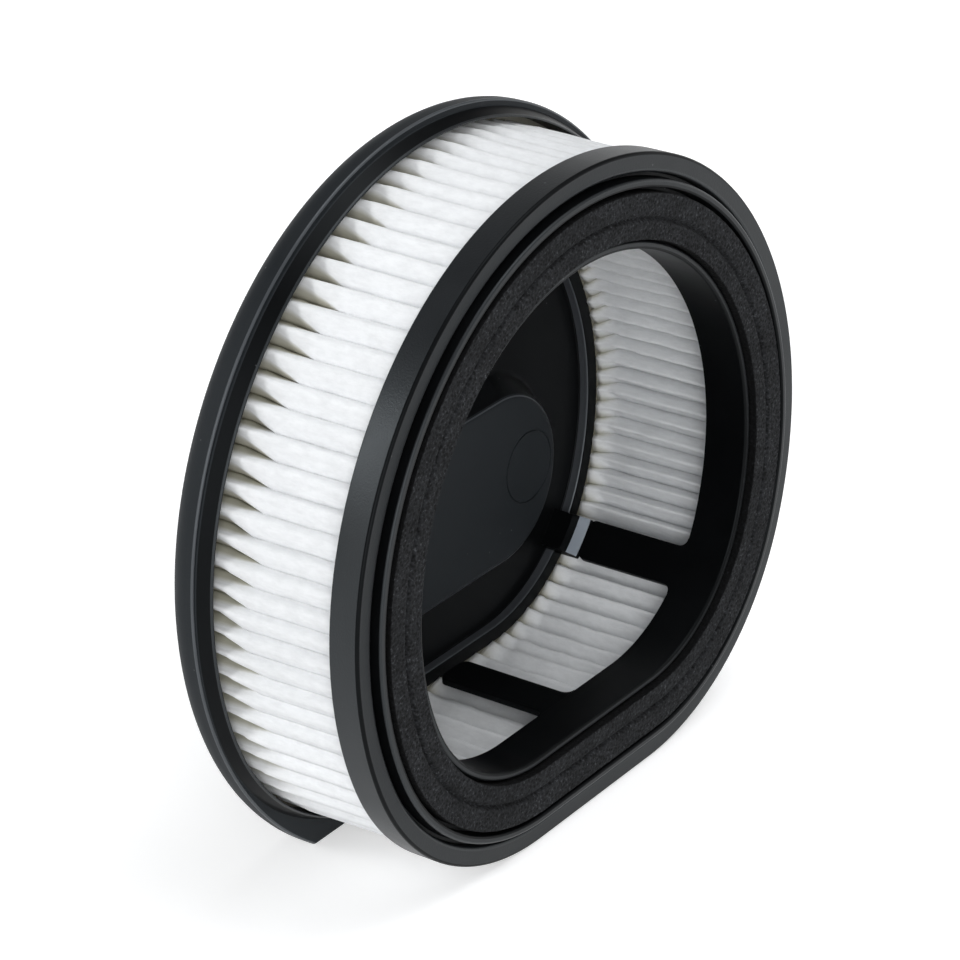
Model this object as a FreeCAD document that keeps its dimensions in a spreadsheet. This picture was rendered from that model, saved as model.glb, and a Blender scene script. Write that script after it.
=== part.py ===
import FreeCAD
import Part
import Sketcher
import math
import os

# Millimetres. X runs across, Y from the open front to the closed rear, Z up.
# Levels are depths behind the flat front band of the ring; offsets run inward from its D-shaped outline.
DIMENSIONS = {
    # D-shaped outline of the front ring, standing on its flat
    "ring_radius": 75.0,
    "ring_centre": 62.0,
    "corner_radius": 54.0,
    # section of the front ring
    "wall_thickness": 1.0,
    "wall_rear": 6.7,
    "groove_outer": 3.7,
    "rib_outer": 5.1,
    "rib_inner": 6.8,
    "rib_proud": 1.5,
    "seat_level": 2.0,
    "plate_thickness": 1.4,
    "lip_outer": 17.6,
    "lip_inner": 19.2,
    "lip_proud": 0.4,
    "band_edge_round": 0.6,
    "rib_edge_round": 0.5,
    "lip_edge_round": 0.6,
    # cage behind the lip
    "cage_band_rear": 9.6,
    "leg_gap": 6.4,
    "leg_width": 9.0,
    "side_leg_turn": 19.6,
    "leg_root_round": 2.0,
    "leg_end_round": 1.5,
    # foam gasket
    "gasket_outer": 7.7,
    "gasket_inner": 17.1,
    "gasket_proud": 1.8,
    "gasket_edge_round": 0.9,
    "crease_offset": 12.8,
    "crease_width": 0.5,
    "crease_depth": 0.5,
    # folded media
    "pleat_count": 88,
    "pleat_outer": 1.2,
    "pleat_inner": 15.0,
    "media_thickness": 0.5,
    "fold_width": 1.5,
    "front_bed_depth": 1.2,
    "rear_bed_depth": 2.3,
    # rear cap
    "cap_rear": 43.8,
    "floor_thickness": 1.4,
    "flange_reach": 1.3,
    "flange_rise": 0.7,
    "flange_depth": 7.0,
    "flange_front_round": 0.5,
    "flange_rear_round": 5.0,
    "bead_thickness": 1.2,
    "bead_depth": 3.1,
    "bead_edge_round": 0.3,
    "tray_clearance": 0.5,
    "tray_flat": 0.9,
    "dam_outer": 15.2,
    "dam_inner": 18.4,
    "dam_edge_round": 0.5,
    # boss of the rear cap
    "boss_centre": 53.6,
    "boss_half_height": 18.4,
    "boss_end_spacing": 20.6,
    "boss_height": 5.9,
    "boss_slope": 30.0,
    "boss_edge_round": 1.0,
    "boss_wall": 1.5,
    "recess_inset": 2.4,
    "mark_spacing": 29.5,
    "mark_radius": 8.0,
    "mark_width": 0.3,
    "mark_depth": 0.2,
    # ramped posts in line with the side legs
    "post_height": 8.4,
    "post_clearance": 0.2,
    "post_depth": 3.2,
    "post_ramp_depth": 1.6,
    "post_ramp_length": 3.6,
}

doc = FreeCAD.newDocument("filter")
sheet = doc.addObject("Spreadsheet::Sheet", "Dims")
for row, (alias, number) in enumerate(DIMENSIONS.items(), start=1):
    sheet.set(f"A{row}", alias)
    sheet.set(f"B{row}", str(number))
    sheet.setAlias(f"B{row}", alias)
doc.recompute()


def value(alias):
    return float(sheet.get(alias))


def cell(alias):
    return f"Dims.{alias}"


class Measure:
    """A length with the expression that drives it."""

    def __init__(self, text, number):
        self.text = text
        self.number = number

    def __add__(self, other):
        return Measure(f"({self.text} + {other.text})", self.number + other.number)

    def __sub__(self, other):
        return Measure(f"({self.text} - {other.text})", self.number - other.number)

    def __neg__(self):
        return Measure(f"(-{self.text})", -self.number)

    def __mul__(self, factor):
        return Measure(f"({self.text} * {factor})", self.number * factor)


def size(alias):
    return Measure(cell(alias), value(alias))


FRONT = Measure("0", 0.0)
DEPTH_CENTRE = "-(Dims.cap_rear - Dims.gasket_proud) / 2"


def new_body(label):
    body = doc.addObject("PartDesign::Body", label)
    body.Label = label
    body.setExpression("Placement.Base.y", DEPTH_CENTRE)
    return body


def origin_plane(body, role):
    for feature in body.Origin.OriginFeatures:
        if feature.Role == role:
            return feature
    raise RuntimeError(role)


def new_sketch(body, name, level, role="XZ_Plane"):
    """A sketch across the depth at a level behind the front band."""
    sketch = body.newObject("Sketcher::SketchObject", name)
    sketch.AttachmentSupport = [(origin_plane(body, role), "")]
    sketch.MapMode = "FlatFace"
    if level is not None:
        sketch.setExpression("AttachmentOffset.Base.z", f"-({level.text})")
    return sketch


def drive(sketch, constraint, measure):
    """Adds a dimension and binds it to its expression."""
    index = sketch.addConstraint(constraint)
    sketch.setExpression(f"Constraints[{index}]", measure.text)
    return index


def place_point(sketch, geometry, point, across, up):
    for kind, measure, axis in (("DistanceX", across, -2), ("DistanceY", up, -1)):
        if measure is None:
            continue
        if measure.number == 0.0:
            sketch.addConstraint(Sketcher.Constraint("PointOnObject", geometry, point, axis))
        elif measure.number > 0.0:
            drive(sketch, Sketcher.Constraint(kind, -1, 1, geometry, point, measure.number), measure)
        else:
            drive(sketch, Sketcher.Constraint(kind, geometry, point, -1, 1, -measure.number), -measure)


def arc(x, y, radius, start, end):
    circle = Part.Circle(FreeCAD.Vector(x, y, 0), FreeCAD.Vector(0, 0, 1), radius)
    return Part.ArcOfCircle(circle, start, end)


def line(x0, y0, x1, y1):
    return Part.LineSegment(FreeCAD.Vector(x0, y0, 0), FreeCAD.Vector(x1, y1, 0))


def d_loop(sketch, radius, corner, flat):
    """Closed D: a large arc, two corner arcs and the flat, tangent to each other."""
    centre = size("ring_centre")
    rise = centre.number - flat.number - corner.number
    half = math.sqrt((radius.number - corner.number) ** 2 - rise ** 2)
    turn = math.atan2(-rise, half)
    low = flat.number
    up = flat.number + corner.number
    main = sketch.addGeometry(arc(0, centre.number, radius.number, turn, math.pi - turn))
    left = sketch.addGeometry(arc(-half, up, corner.number, math.pi - turn, 1.5 * math.pi))
    base = sketch.addGeometry(line(-half, low, half, low))
    right = sketch.addGeometry(arc(half, up, corner.number, -0.5 * math.pi, turn))
    sketch.addConstraint(Sketcher.Constraint("Tangent", main, 2, left, 1))
    sketch.addConstraint(Sketcher.Constraint("Tangent", left, 2, base, 1))
    sketch.addConstraint(Sketcher.Constraint("Tangent", base, 2, right, 1))
    sketch.addConstraint(Sketcher.Constraint("Tangent", right, 2, main, 1))
    sketch.addConstraint(Sketcher.Constraint("Horizontal", base))
    sketch.addConstraint(Sketcher.Constraint("Equal", left, right))
    place_point(sketch, main, 3, FRONT, centre)
    place_point(sketch, base, 1, None, flat)
    drive(sketch, Sketcher.Constraint("Radius", main, radius.number), radius)
    drive(sketch, Sketcher.Constraint("Radius", left, corner.number), corner)


def ring_loop(sketch, offset):
    """The outline of the front ring moved inward by an offset."""
    d_loop(sketch, size("ring_radius") - offset, size("corner_radius") - offset, offset)


def tray_radius():
    return size("ring_radius") + size("tray_clearance")


def tray_loop(sketch):
    d_loop(sketch, tray_radius(), size("corner_radius"), size("tray_flat"))


def sector_loop(sketch, across, up, outer, inner, angle, half_angle):
    """A piece of wall between two arcs about one centre and two lines through it."""
    x = across.number
    y = up.number
    first = math.radians(angle.number - half_angle.number)
    last = math.radians(angle.number + half_angle.number)
    far = sketch.addGeometry(arc(x, y, outer.number, first, last))
    near = sketch.addGeometry(arc(x, y, inner.number, first, last))
    sides = []
    for turn in (first, last):
        c = math.cos(turn)
        s = math.sin(turn)
        sides.append(sketch.addGeometry(
            line(x + inner.number * c, y + inner.number * s, x + outer.number * c, y + outer.number * s)))
    for side, end in zip(sides, (1, 2)):
        sketch.addConstraint(Sketcher.Constraint("Coincident", side, 1, near, end))
        sketch.addConstraint(Sketcher.Constraint("Coincident", side, 2, far, end))
        sketch.addConstraint(Sketcher.Constraint("PointOnObject", far, 3, side))
    sketch.addConstraint(Sketcher.Constraint("Coincident", near, 3, far, 3))
    place_point(sketch, far, 3, across, up)
    drive(sketch, Sketcher.Constraint("Radius", far, outer.number), outer)
    drive(sketch, Sketcher.Constraint("Radius", near, inner.number), inner)
    lower = angle - half_angle
    upper = angle + half_angle
    drive(sketch, Sketcher.Constraint("Angle", sides[0], first), Measure(f"({lower.text}) * 1 deg", first))
    drive(sketch, Sketcher.Constraint("Angle", sides[1], last), Measure(f"({upper.text}) * 1 deg", last))


def obround_loop(sketch, spacing, up, radius):
    """Two half circles joined by two level lines."""
    x = spacing.number
    y = up.number
    r = radius.number
    right = sketch.addGeometry(arc(x, y, r, -0.5 * math.pi, 0.5 * math.pi))
    top = sketch.addGeometry(line(x, y + r, -x, y + r))
    left = sketch.addGeometry(arc(-x, y, r, 0.5 * math.pi, 1.5 * math.pi))
    bottom = sketch.addGeometry(line(-x, y - r, x, y - r))
    sketch.addConstraint(Sketcher.Constraint("Tangent", right, 2, top, 1))
    sketch.addConstraint(Sketcher.Constraint("Tangent", top, 2, left, 1))
    sketch.addConstraint(Sketcher.Constraint("Tangent", left, 2, bottom, 1))
    sketch.addConstraint(Sketcher.Constraint("Tangent", bottom, 2, right, 1))
    sketch.addConstraint(Sketcher.Constraint("Equal", right, left))
    sketch.addConstraint(Sketcher.Constraint("Horizontal", top))
    place_point(sketch, right, 3, spacing, up)
    place_point(sketch, left, 3, -spacing, None)
    drive(sketch, Sketcher.Constraint("Radius", right, r), radius)


def circle_loop(sketch, across, up, radius):
    centre = FreeCAD.Vector(across.number, up.number, 0)
    circle = sketch.addGeometry(Part.Circle(centre, FreeCAD.Vector(0, 0, 1), radius.number))
    place_point(sketch, circle, 3, across, up)
    drive(sketch, Sketcher.Constraint("Radius", circle, radius.number), radius)


def box_loop(sketch, left, right, low, high):
    """An upright rectangle."""
    corners = [(left, low), (right, low), (right, high), (left, high)]
    sides = []
    for (x0, y0), (x1, y1) in zip(corners, corners[1:] + corners[:1]):
        sides.append(sketch.addGeometry(line(x0.number, y0.number, x1.number, y1.number)))
    for side, following in zip(sides, sides[1:] + sides[:1]):
        sketch.addConstraint(Sketcher.Constraint("Coincident", side, 2, following, 1))
    sketch.addConstraint(Sketcher.Constraint("Horizontal", sides[0]))
    sketch.addConstraint(Sketcher.Constraint("Horizontal", sides[2]))
    sketch.addConstraint(Sketcher.Constraint("Vertical", sides[1]))
    sketch.addConstraint(Sketcher.Constraint("Vertical", sides[3]))
    place_point(sketch, sides[0], 1, left, low)
    place_point(sketch, sides[2], 1, right, high)


def pad(body, sketch, length):
    """Material from the sketch's level towards the front."""
    sketch.Visibility = False
    doc.recompute()
    feature = body.newObject("PartDesign::Pad", f"{sketch.Name}_pad")
    feature.Profile = sketch
    feature.setExpression("Length", length.text)
    doc.recompute()
    return feature


def pocket(body, sketch, length, towards_front=False):
    """A cut from the sketch's level towards the rear, or towards the front."""
    doc.recompute()
    before = body.Shape.Volume
    feature = body.newObject("PartDesign::Pocket", f"{sketch.Name}_cut")
    feature.Profile = sketch
    feature.Reversed = towards_front
    feature.setExpression("Length", length.text)
    doc.recompute()
    if body.Shape.Volume > before - 1e-3:
        raise RuntimeError(f"{sketch.Name} cuts nothing")
    return feature


def ring_pad(body, name, outer, inner, front, rear):
    sketch = new_sketch(body, name, rear)
    ring_loop(sketch, outer)
    ring_loop(sketch, inner)
    return pad(body, sketch, rear - front)


def mirrored(body, feature, name):
    """The same feature on the other side of the middle plane."""
    mirror = body.newObject("PartDesign::Mirrored", name)
    mirror.Originals = [feature]
    mirror.MirrorPlane = (origin_plane(body, "YZ_Plane"), [""])
    body.Tip = mirror
    doc.recompute()
    return mirror


def edges_where(shape, test):
    return [f"Edge{i}" for i, edge in enumerate(shape.Edges, start=1) if test(edge)]


def rounded(body, name, test, radius):
    base = body.Tip
    names = edges_where(base.Shape, test)
    if not names:
        raise RuntimeError(f"{name} finds no edge")
    feature = body.newObject("PartDesign::Fillet", name)
    feature.Base = (base, names)
    feature.setExpression("Radius", radius.text)
    doc.recompute()
    return feature


def flat_at(edge, level):
    """True for an edge that lies across the depth at one level."""
    box = edge.BoundBox
    return abs(box.YMin - level) < 1e-4 and abs(box.YMax - level) < 1e-4


def inset_of(point, radius, corner, flat):
    """How far inside a D-shaped outline a point lies."""
    centre = value("ring_centre")
    rise = centre - flat - corner
    half = math.sqrt((radius - corner) ** 2 - rise ** 2)
    x = abs(point.x)
    z = point.z
    if (z - centre) * half > -x * rise:
        return radius - math.hypot(x, z - centre)
    if x < half:
        return z - flat
    return corner - math.hypot(x - half, z - flat - corner)


def ring_inset(edge):
    middle = edge.valueAt((edge.FirstParameter + edge.LastParameter) / 2)
    return inset_of(middle, value("ring_radius"), value("corner_radius"), 0.0)


def loop_at(edge, level, offset):
    return flat_at(edge, level) and abs(ring_inset(edge) - offset) < 1e-3


# Levels behind the front band, the rear ones counted from the rear of the cap
seat = size("seat_level")
plate_rear = seat + size("plate_thickness")
media_front = plate_rear + size("front_bed_depth")
cap_rear = size("cap_rear")
floor_level = cap_rear - size("floor_thickness")
media_rear = floor_level - size("rear_bed_depth")
flange_front = cap_rear - size("flange_depth")
bead_front = flange_front - size("bead_depth")
boss_height = size("boss_height")
boss_face = floor_level - boss_height
leg_rear = floor_level - size("leg_gap")
post_front = floor_level - size("post_height")
side_leg_rear = post_front - size("post_clearance")

# Front frame: ring with gasket channel, inner lip, cage band and legs
lip_outer = size("lip_outer")
lip_inner = size("lip_inner")
front_frame = new_body("front_frame")
ring_pad(front_frame, "channel_floor", FRONT, lip_inner, seat, plate_rear)
ring_pad(front_frame, "front_band", FRONT, size("groove_outer"), FRONT, seat)
ring_pad(front_frame, "outer_wall", FRONT, size("wall_thickness"), plate_rear, size("wall_rear"))
ring_pad(front_frame, "rib", size("rib_outer"), size("rib_inner"), -size("rib_proud"), seat)
ring_pad(front_frame, "cage_band", lip_outer, lip_inner, -size("lip_proud"), size("cage_band_rear"))

corner = size("corner_radius")
corner_across = Measure(
    "sqrt((Dims.ring_radius - Dims.corner_radius)^2 - (Dims.ring_centre - Dims.corner_radius)^2)",
    math.sqrt((value("ring_radius") - corner.number) ** 2 - (value("ring_centre") - corner.number) ** 2))
corner_end = Measure(
    f"(atan((Dims.ring_centre - Dims.corner_radius) / {corner_across.text}) / 1 deg)",
    math.degrees(math.atan2(value("ring_centre") - corner.number, corner_across.number)))
side_leg_angle = corner_end + size("side_leg_turn")
half_leg = size("leg_width") * 0.5
leg_length = leg_rear - size("cage_band_rear")
side_length = side_leg_rear - size("cage_band_rear")

lower_leg = new_sketch(front_frame, "lower_leg", leg_rear)
box_loop(lower_leg, -half_leg, half_leg, lip_outer, lip_inner)
pad(front_frame, lower_leg, leg_length)


def sine_angle(width, radius):
    return Measure(f"(asin({width.text} / {radius.text}) / 1 deg)",
                   math.degrees(math.asin(width.number / radius.number)))


def side_sector(sketch, outer_offset, inner_offset):
    """The wall of a side leg, on the right-hand corner of the D."""
    outer = corner - outer_offset
    half_angle = sine_angle(half_leg, corner - lip_outer)
    sector_loop(sketch, corner_across, corner, outer, corner - inner_offset, -side_leg_angle, half_angle)


upper_leg = new_sketch(front_frame, "upper_leg", leg_rear)
upper_outer = size("ring_radius") - lip_outer
sector_loop(upper_leg, FRONT, size("ring_centre"), upper_outer, size("ring_radius") - lip_inner,
            Measure("90", 90.0), sine_angle(half_leg, upper_outer))
pad(front_frame, upper_leg, leg_length)
side_leg = new_sketch(front_frame, "side_leg", side_leg_rear)
side_sector(side_leg, lip_outer, lip_inner)
side_leg_pad = pad(front_frame, side_leg, side_length)
mirrored(front_frame, side_leg_pad, "other_side_leg")

wall = value("lip_inner") - value("lip_outer")


def across_wall(edge, level):
    """True for a short edge through the cage wall at one level."""
    return flat_at(edge, level) and abs(edge.Length - wall) < 0.05


def leg_end(edge):
    return across_wall(edge, leg_rear.number) or across_wall(edge, side_leg_rear.number)


rounded(front_frame, "leg_roots", lambda e: across_wall(e, value("cage_band_rear")), size("leg_root_round"))
rounded(front_frame, "leg_ends", leg_end, size("leg_end_round"))
rounded(front_frame, "band_edge", lambda e: loop_at(e, 0.0, 0.0), size("band_edge_round"))
rounded(front_frame, "rib_edges", lambda e: flat_at(e, -value("rib_proud")), size("rib_edge_round"))
rounded(front_frame, "lip_edges", lambda e: flat_at(e, -value("lip_proud")), size("lip_edge_round"))

# Foam gasket lying in the channel, with a crease round its middle
foam_gasket = new_body("foam_gasket")
gasket_front = -size("gasket_proud")
ring_pad(foam_gasket, "foam_ring", size("gasket_outer"), size("gasket_inner"), gasket_front, seat)
rounded(foam_gasket, "foam_edges", lambda e: flat_at(e, gasket_front.number), size("gasket_edge_round"))
crease = new_sketch(foam_gasket, "crease", gasket_front)
half_crease = size("crease_width") * 0.5
ring_loop(crease, size("crease_offset") - half_crease)
ring_loop(crease, size("crease_offset") + half_crease)
pocket(foam_gasket, crease, size("crease_depth"))

# Rear cap: turned flange with a chord, bead, tray, dam, boss and posts
rear_cap = new_body("rear_cap")
bead_radius = tray_radius() + size("bead_thickness")
flange = bead_radius + size("flange_reach")
flange_centre = size("ring_centre") + size("flange_rise")
front_round = size("flange_front_round")
rear_round = size("flange_rear_round")
rim = flange_centre + flange
profile = new_sketch(rear_cap, "cap_profile", None, "YZ_Plane")
y0 = flange_front.number
y1 = cap_rear.number
z0 = flange_centre.number
z1 = rim.number
front_side = profile.addGeometry(line(y0, z0, y0, z1 - front_round.number))
front_arc = profile.addGeometry(
    arc(y0 + front_round.number, z1 - front_round.number, front_round.number, 0.5 * math.pi, math.pi))
rim_side = profile.addGeometry(line(y0 + front_round.number, z1, y1 - rear_round.number, z1))
rear_arc = profile.addGeometry(
    arc(y1 - rear_round.number, z1 - rear_round.number, rear_round.number, 0.0, 0.5 * math.pi))
rear_side = profile.addGeometry(line(y1, z1 - rear_round.number, y1, z0))
axis_side = profile.addGeometry(line(y1, z0, y0, z0))
profile.addConstraint(Sketcher.Constraint("Tangent", front_side, 2, front_arc, 2))
profile.addConstraint(Sketcher.Constraint("Tangent", front_arc, 1, rim_side, 1))
profile.addConstraint(Sketcher.Constraint("Tangent", rim_side, 2, rear_arc, 2))
profile.addConstraint(Sketcher.Constraint("Tangent", rear_arc, 1, rear_side, 1))
profile.addConstraint(Sketcher.Constraint("Coincident", rear_side, 2, axis_side, 1))
profile.addConstraint(Sketcher.Constraint("Coincident", axis_side, 2, front_side, 1))
profile.addConstraint(Sketcher.Constraint("Vertical", front_side))
profile.addConstraint(Sketcher.Constraint("Horizontal", rim_side))
profile.addConstraint(Sketcher.Constraint("Vertical", rear_side))
profile.addConstraint(Sketcher.Constraint("Horizontal", axis_side))
place_point(profile, front_side, 1, flange_front, flange_centre)
place_point(profile, rear_side, 2, cap_rear, None)
place_point(profile, rim_side, 1, None, rim)
drive(profile, Sketcher.Constraint("Radius", front_arc, front_round.number), front_round)
drive(profile, Sketcher.Constraint("Radius", rear_arc, rear_round.number), rear_round)
doc.recompute()
turned = rear_cap.newObject("PartDesign::Revolution", "turned_cap")
turned.Profile = profile
turned.ReferenceAxis = (profile, [f"Edge{axis_side + 1}"])
turned.Angle = 360.0
doc.recompute()

chord = new_sketch(rear_cap, "chord", flange_front)
box_loop(chord, -flange, flange, -flange, FRONT)
pocket(rear_cap, chord, cap_rear - flange_front)

bead = new_sketch(rear_cap, "bead", flange_front)
d_loop(bead, bead_radius, corner, FRONT)
tray_loop(bead)
pad(rear_cap, bead, flange_front - bead_front)
rounded(rear_cap, "bead_edges", lambda e: flat_at(e, bead_front.number), size("bead_edge_round"))

tray = new_sketch(rear_cap, "tray", flange_front)
tray_loop(tray)
pocket(rear_cap, tray, floor_level - flange_front)

ring_pad(rear_cap, "dam", size("dam_outer"), size("dam_inner"), media_rear, floor_level)
rounded(rear_cap, "dam_edge", lambda e: loop_at(e, media_rear.number, value("dam_inner")), size("dam_edge_round"))

boss_centre = size("boss_centre")
boss_spacing = size("boss_end_spacing")
boss_radius = size("boss_half_height")
flare = Measure(f"({boss_height.text} * tan(Dims.boss_slope))",
                boss_height.number * math.tan(math.radians(value("boss_slope"))))
boss = new_sketch(rear_cap, "boss", floor_level)
obround_loop(boss, boss_spacing, boss_centre, boss_radius + flare)
boss_pad = pad(rear_cap, boss, boss_height)
boss_pad.setExpression("TaperAngle", "-Dims.boss_slope")
doc.recompute()
rounded(rear_cap, "boss_edge", lambda e: flat_at(e, boss_face.number), size("boss_edge_round"))
recess = new_sketch(rear_cap, "boss_recess", cap_rear)
obround_loop(recess, boss_spacing, boss_centre, boss_radius - size("recess_inset"))
pocket(rear_cap, recess, cap_rear - boss_face - size("boss_wall"), towards_front=True)
mark = new_sketch(rear_cap, "boss_mark", boss_face)
circle_loop(mark, size("mark_spacing"), boss_centre, size("mark_radius"))
circle_loop(mark, size("mark_spacing"), boss_centre, size("mark_radius") - size("mark_width"))
mark_cut = pocket(rear_cap, mark, size("mark_depth"))
mirrored(rear_cap, mark_cut, "other_boss_mark")

post_inner = lip_outer + size("post_depth")
post = new_sketch(rear_cap, "post", floor_level)
side_sector(post, lip_outer, post_inner)
post_pad = pad(rear_cap, post, floor_level - post_front)
mirrored(rear_cap, post_pad, "other_post")
posts = rear_cap.Tip
ramp_edges = edges_where(posts.Shape, lambda e: loop_at(e, post_front.number, post_inner.number))
ramp = rear_cap.newObject("PartDesign::Chamfer", "post_ramps")
ramp.Base = (posts, ramp_edges)
ramp.ChamferType = "Two distances"
ramp.setExpression("Size", "Dims.post_ramp_length")
ramp.setExpression("Size2", "Dims.post_ramp_depth")
doc.recompute()

# Beds of glue that hold the two ends of the folds
front_adhesive = new_body("front_adhesive")
ring_pad(front_adhesive, "front_bed", size("wall_thickness"), lip_outer, plate_rear, media_front)
rear_adhesive = new_body("rear_adhesive")
rear_bed = new_sketch(rear_adhesive, "rear_bed", floor_level)
tray_loop(rear_bed)
ring_loop(rear_bed, size("dam_outer"))
pad(rear_adhesive, rear_bed, floor_level - media_rear)


def ring_point(distance, offset):
    """A point on the inset outline; distance is measured along the outer outline from the top."""
    radius = value("ring_radius")
    centre = value("ring_centre")
    bend = value("corner_radius")
    half = corner_across.number
    side = math.pi / 2 + math.atan2(centre - bend, half)
    sweep = math.pi - side
    lengths = (radius * side, bend * sweep, half)
    mirror = 1.0
    total = 2.0 * sum(lengths)
    distance = distance % total
    if distance > total / 2:
        distance = total - distance
        mirror = -1.0
    if distance <= lengths[0]:
        turn = distance / radius
        reach = radius - offset
        return (mirror * reach * math.sin(turn), centre + reach * math.cos(turn))
    distance -= lengths[0]
    if distance <= lengths[1]:
        turn = side + distance / bend
        reach = bend - offset
        return (mirror * (half + reach * math.sin(turn)), bend + reach * math.cos(turn))
    distance -= lengths[1]
    return (mirror * (half - distance), offset)


def outline_length():
    half = corner_across.number
    side = math.pi / 2 + math.atan2(value("ring_centre") - value("corner_radius"), half)
    return 2.0 * (value("ring_radius") * side + value("corner_radius") * (math.pi - side) + half)


def fold_line():
    """The folded sheet's middle line, with a rounded fold at each outer and inner end."""
    count = int(value("pleat_count"))
    pitch = outline_length() / count
    half_sheet = value("media_thickness") / 2
    outer = value("pleat_outer") + half_sheet
    inner = value("pleat_inner") - half_sheet
    half_fold = value("fold_width") / 2
    drop = half_fold * 0.45
    points = []
    for index in range(count):
        middle = index * pitch
        points.append(ring_point(middle - half_fold, outer + drop))
        points.append(ring_point(middle, outer))
        points.append(ring_point(middle + half_fold, outer + drop))
        middle += pitch / 2
        points.append(ring_point(middle - half_fold, inner - drop))
        points.append(ring_point(middle, inner))
        points.append(ring_point(middle + half_fold, inner - drop))
    return points


def moved_sideways(points, shift):
    """The closed line moved to one side, its corners mitred."""
    count = len(points)
    result = []
    for index, (x, z) in enumerate(points):
        xa, za = points[index - 1]
        xb, zb = points[(index + 1) % count]
        before = math.hypot(x - xa, z - za)
        after = math.hypot(xb - x, zb - z)
        na = (-(z - za) / before, (x - xa) / before)
        nb = (-(zb - z) / after, (xb - x) / after)
        scale = shift / (1.0 + na[0] * nb[0] + na[1] * nb[1])
        result.append((x + (na[0] + nb[0]) * scale, z + (na[1] + nb[1]) * scale))
    return result


def closed_wire(points, level):
    corners = [FreeCAD.Vector(x, level, z) for x, z in points]
    return Part.makePolygon(corners + corners[:1])


middle_line = fold_line()
half_thickness = value("media_thickness") / 2
wires = [closed_wire(moved_sideways(middle_line, shift), media_front.number)
         for shift in (half_thickness, -half_thickness)]
areas = [Part.Face(wire).Area for wire in wires]
outside = wires[areas.index(max(areas))]
inside = wires[areas.index(min(areas))]
folded_face = Part.Face([outside, inside])
folded_face.validate()
media_length = media_rear.number - media_front.number
pleated_media = doc.addObject("Part::Feature", "pleated_media")
pleated_media.Label = "pleated_media"
pleated_media.Shape = folded_face.extrude(FreeCAD.Vector(0, media_length, 0))
pleated_media.setExpression("Placement.Base.y", DEPTH_CENTRE)
doc.recompute()

NODES = [front_frame, foam_gasket, pleated_media, rear_cap, front_adhesive, rear_adhesive]
for item in doc.Objects:
    if "Invalid" in item.State or "Error" in item.State:
        raise RuntimeError(f"{item.Name} {item.State}")
os.makedirs("parts", exist_ok=True)
for node in NODES:
    if node.Shape.isNull() or not node.Shape.isValid() or len(node.Shape.Solids) != 1:
        raise RuntimeError(f"{node.Label} is not one valid solid")
    node.Shape.exportStep(os.path.join("parts", f"{node.Label}.step"))
    box = node.Shape.BoundBox
    print(node.Label, round(node.Shape.Volume, 1), len(node.Shape.Faces),
          [round(v, 2) for v in (box.XMin, box.XMax, box.YMin, box.YMax, box.ZMin, box.ZMax)])
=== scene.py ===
import math
import random
import bmesh
import bpy
import numpy as np
from mathutils import Matrix, Vector


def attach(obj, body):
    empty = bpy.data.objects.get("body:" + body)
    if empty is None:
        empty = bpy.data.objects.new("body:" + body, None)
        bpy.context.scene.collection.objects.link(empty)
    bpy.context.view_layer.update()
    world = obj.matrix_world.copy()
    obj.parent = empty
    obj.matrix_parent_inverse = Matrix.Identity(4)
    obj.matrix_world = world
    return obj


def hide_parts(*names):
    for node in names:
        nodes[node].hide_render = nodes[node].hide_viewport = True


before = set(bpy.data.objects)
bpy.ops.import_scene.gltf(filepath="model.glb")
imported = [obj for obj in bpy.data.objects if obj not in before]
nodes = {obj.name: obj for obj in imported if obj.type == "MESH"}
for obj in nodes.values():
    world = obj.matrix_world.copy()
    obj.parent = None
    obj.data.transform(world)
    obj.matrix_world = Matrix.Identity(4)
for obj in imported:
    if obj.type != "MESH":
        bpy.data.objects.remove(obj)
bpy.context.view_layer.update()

MM = 0.001
LEVEL_ORIGIN = 21.0  # depth of the frame's origin behind the flat front band, mm
QUARTER = math.pi / 2

# D-shaped outline of the front ring, mm
RING_RADIUS = 75.0
RING_CENTRE = 62.0
CORNER_RADIUS = 54.0
CORNER_ACROSS = math.sqrt((RING_RADIUS - CORNER_RADIUS) ** 2 - (RING_CENTRE - CORNER_RADIUS) ** 2)
SIDE_TURN = math.pi / 2 + math.atan2(RING_CENTRE - CORNER_RADIUS, CORNER_ACROSS)
SIDE_LENGTH = RING_RADIUS * SIDE_TURN
CORNER_LENGTH = CORNER_RADIUS * (math.pi - SIDE_TURN)
RING_LENGTH = 2.0 * (SIDE_LENGTH + CORNER_LENGTH + CORNER_ACROSS)


def ring_frame(distance):
    """Point and outward normal on the outline, by distance from its top (arrays, mm)."""
    s = np.mod(np.asarray(distance, float), RING_LENGTH)
    mirror = np.where(s > RING_LENGTH / 2, -1.0, 1.0)
    s = np.where(s > RING_LENGTH / 2, RING_LENGTH - s, s)
    turn = s / RING_RADIUS
    bend = SIDE_TURN + (s - SIDE_LENGTH) / CORNER_RADIUS
    base = s - SIDE_LENGTH - CORNER_LENGTH
    on_side = s <= SIDE_LENGTH
    on_corner = s <= SIDE_LENGTH + CORNER_LENGTH
    angle = np.where(on_side, turn, np.where(on_corner, bend, math.pi))
    nx = np.sin(angle)
    nz = np.cos(angle)
    x = np.where(on_side, RING_RADIUS * nx,
                 np.where(on_corner, CORNER_ACROSS + CORNER_RADIUS * nx, CORNER_ACROSS - base))
    z = np.where(on_side, RING_CENTRE + RING_RADIUS * nz,
                 np.where(on_corner, CORNER_RADIUS + CORNER_RADIUS * nz, 0.0))
    return x * mirror, z, nx * mirror, nz


def to_frame(x, level, z):
    """Millimetres with a level behind the front band, as points of the frame in metres."""
    x, level, z = np.broadcast_arrays(x, level, z)
    return np.stack([x * MM, (level - LEVEL_ORIGIN) * MM, z * MM], axis=-1)


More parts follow.
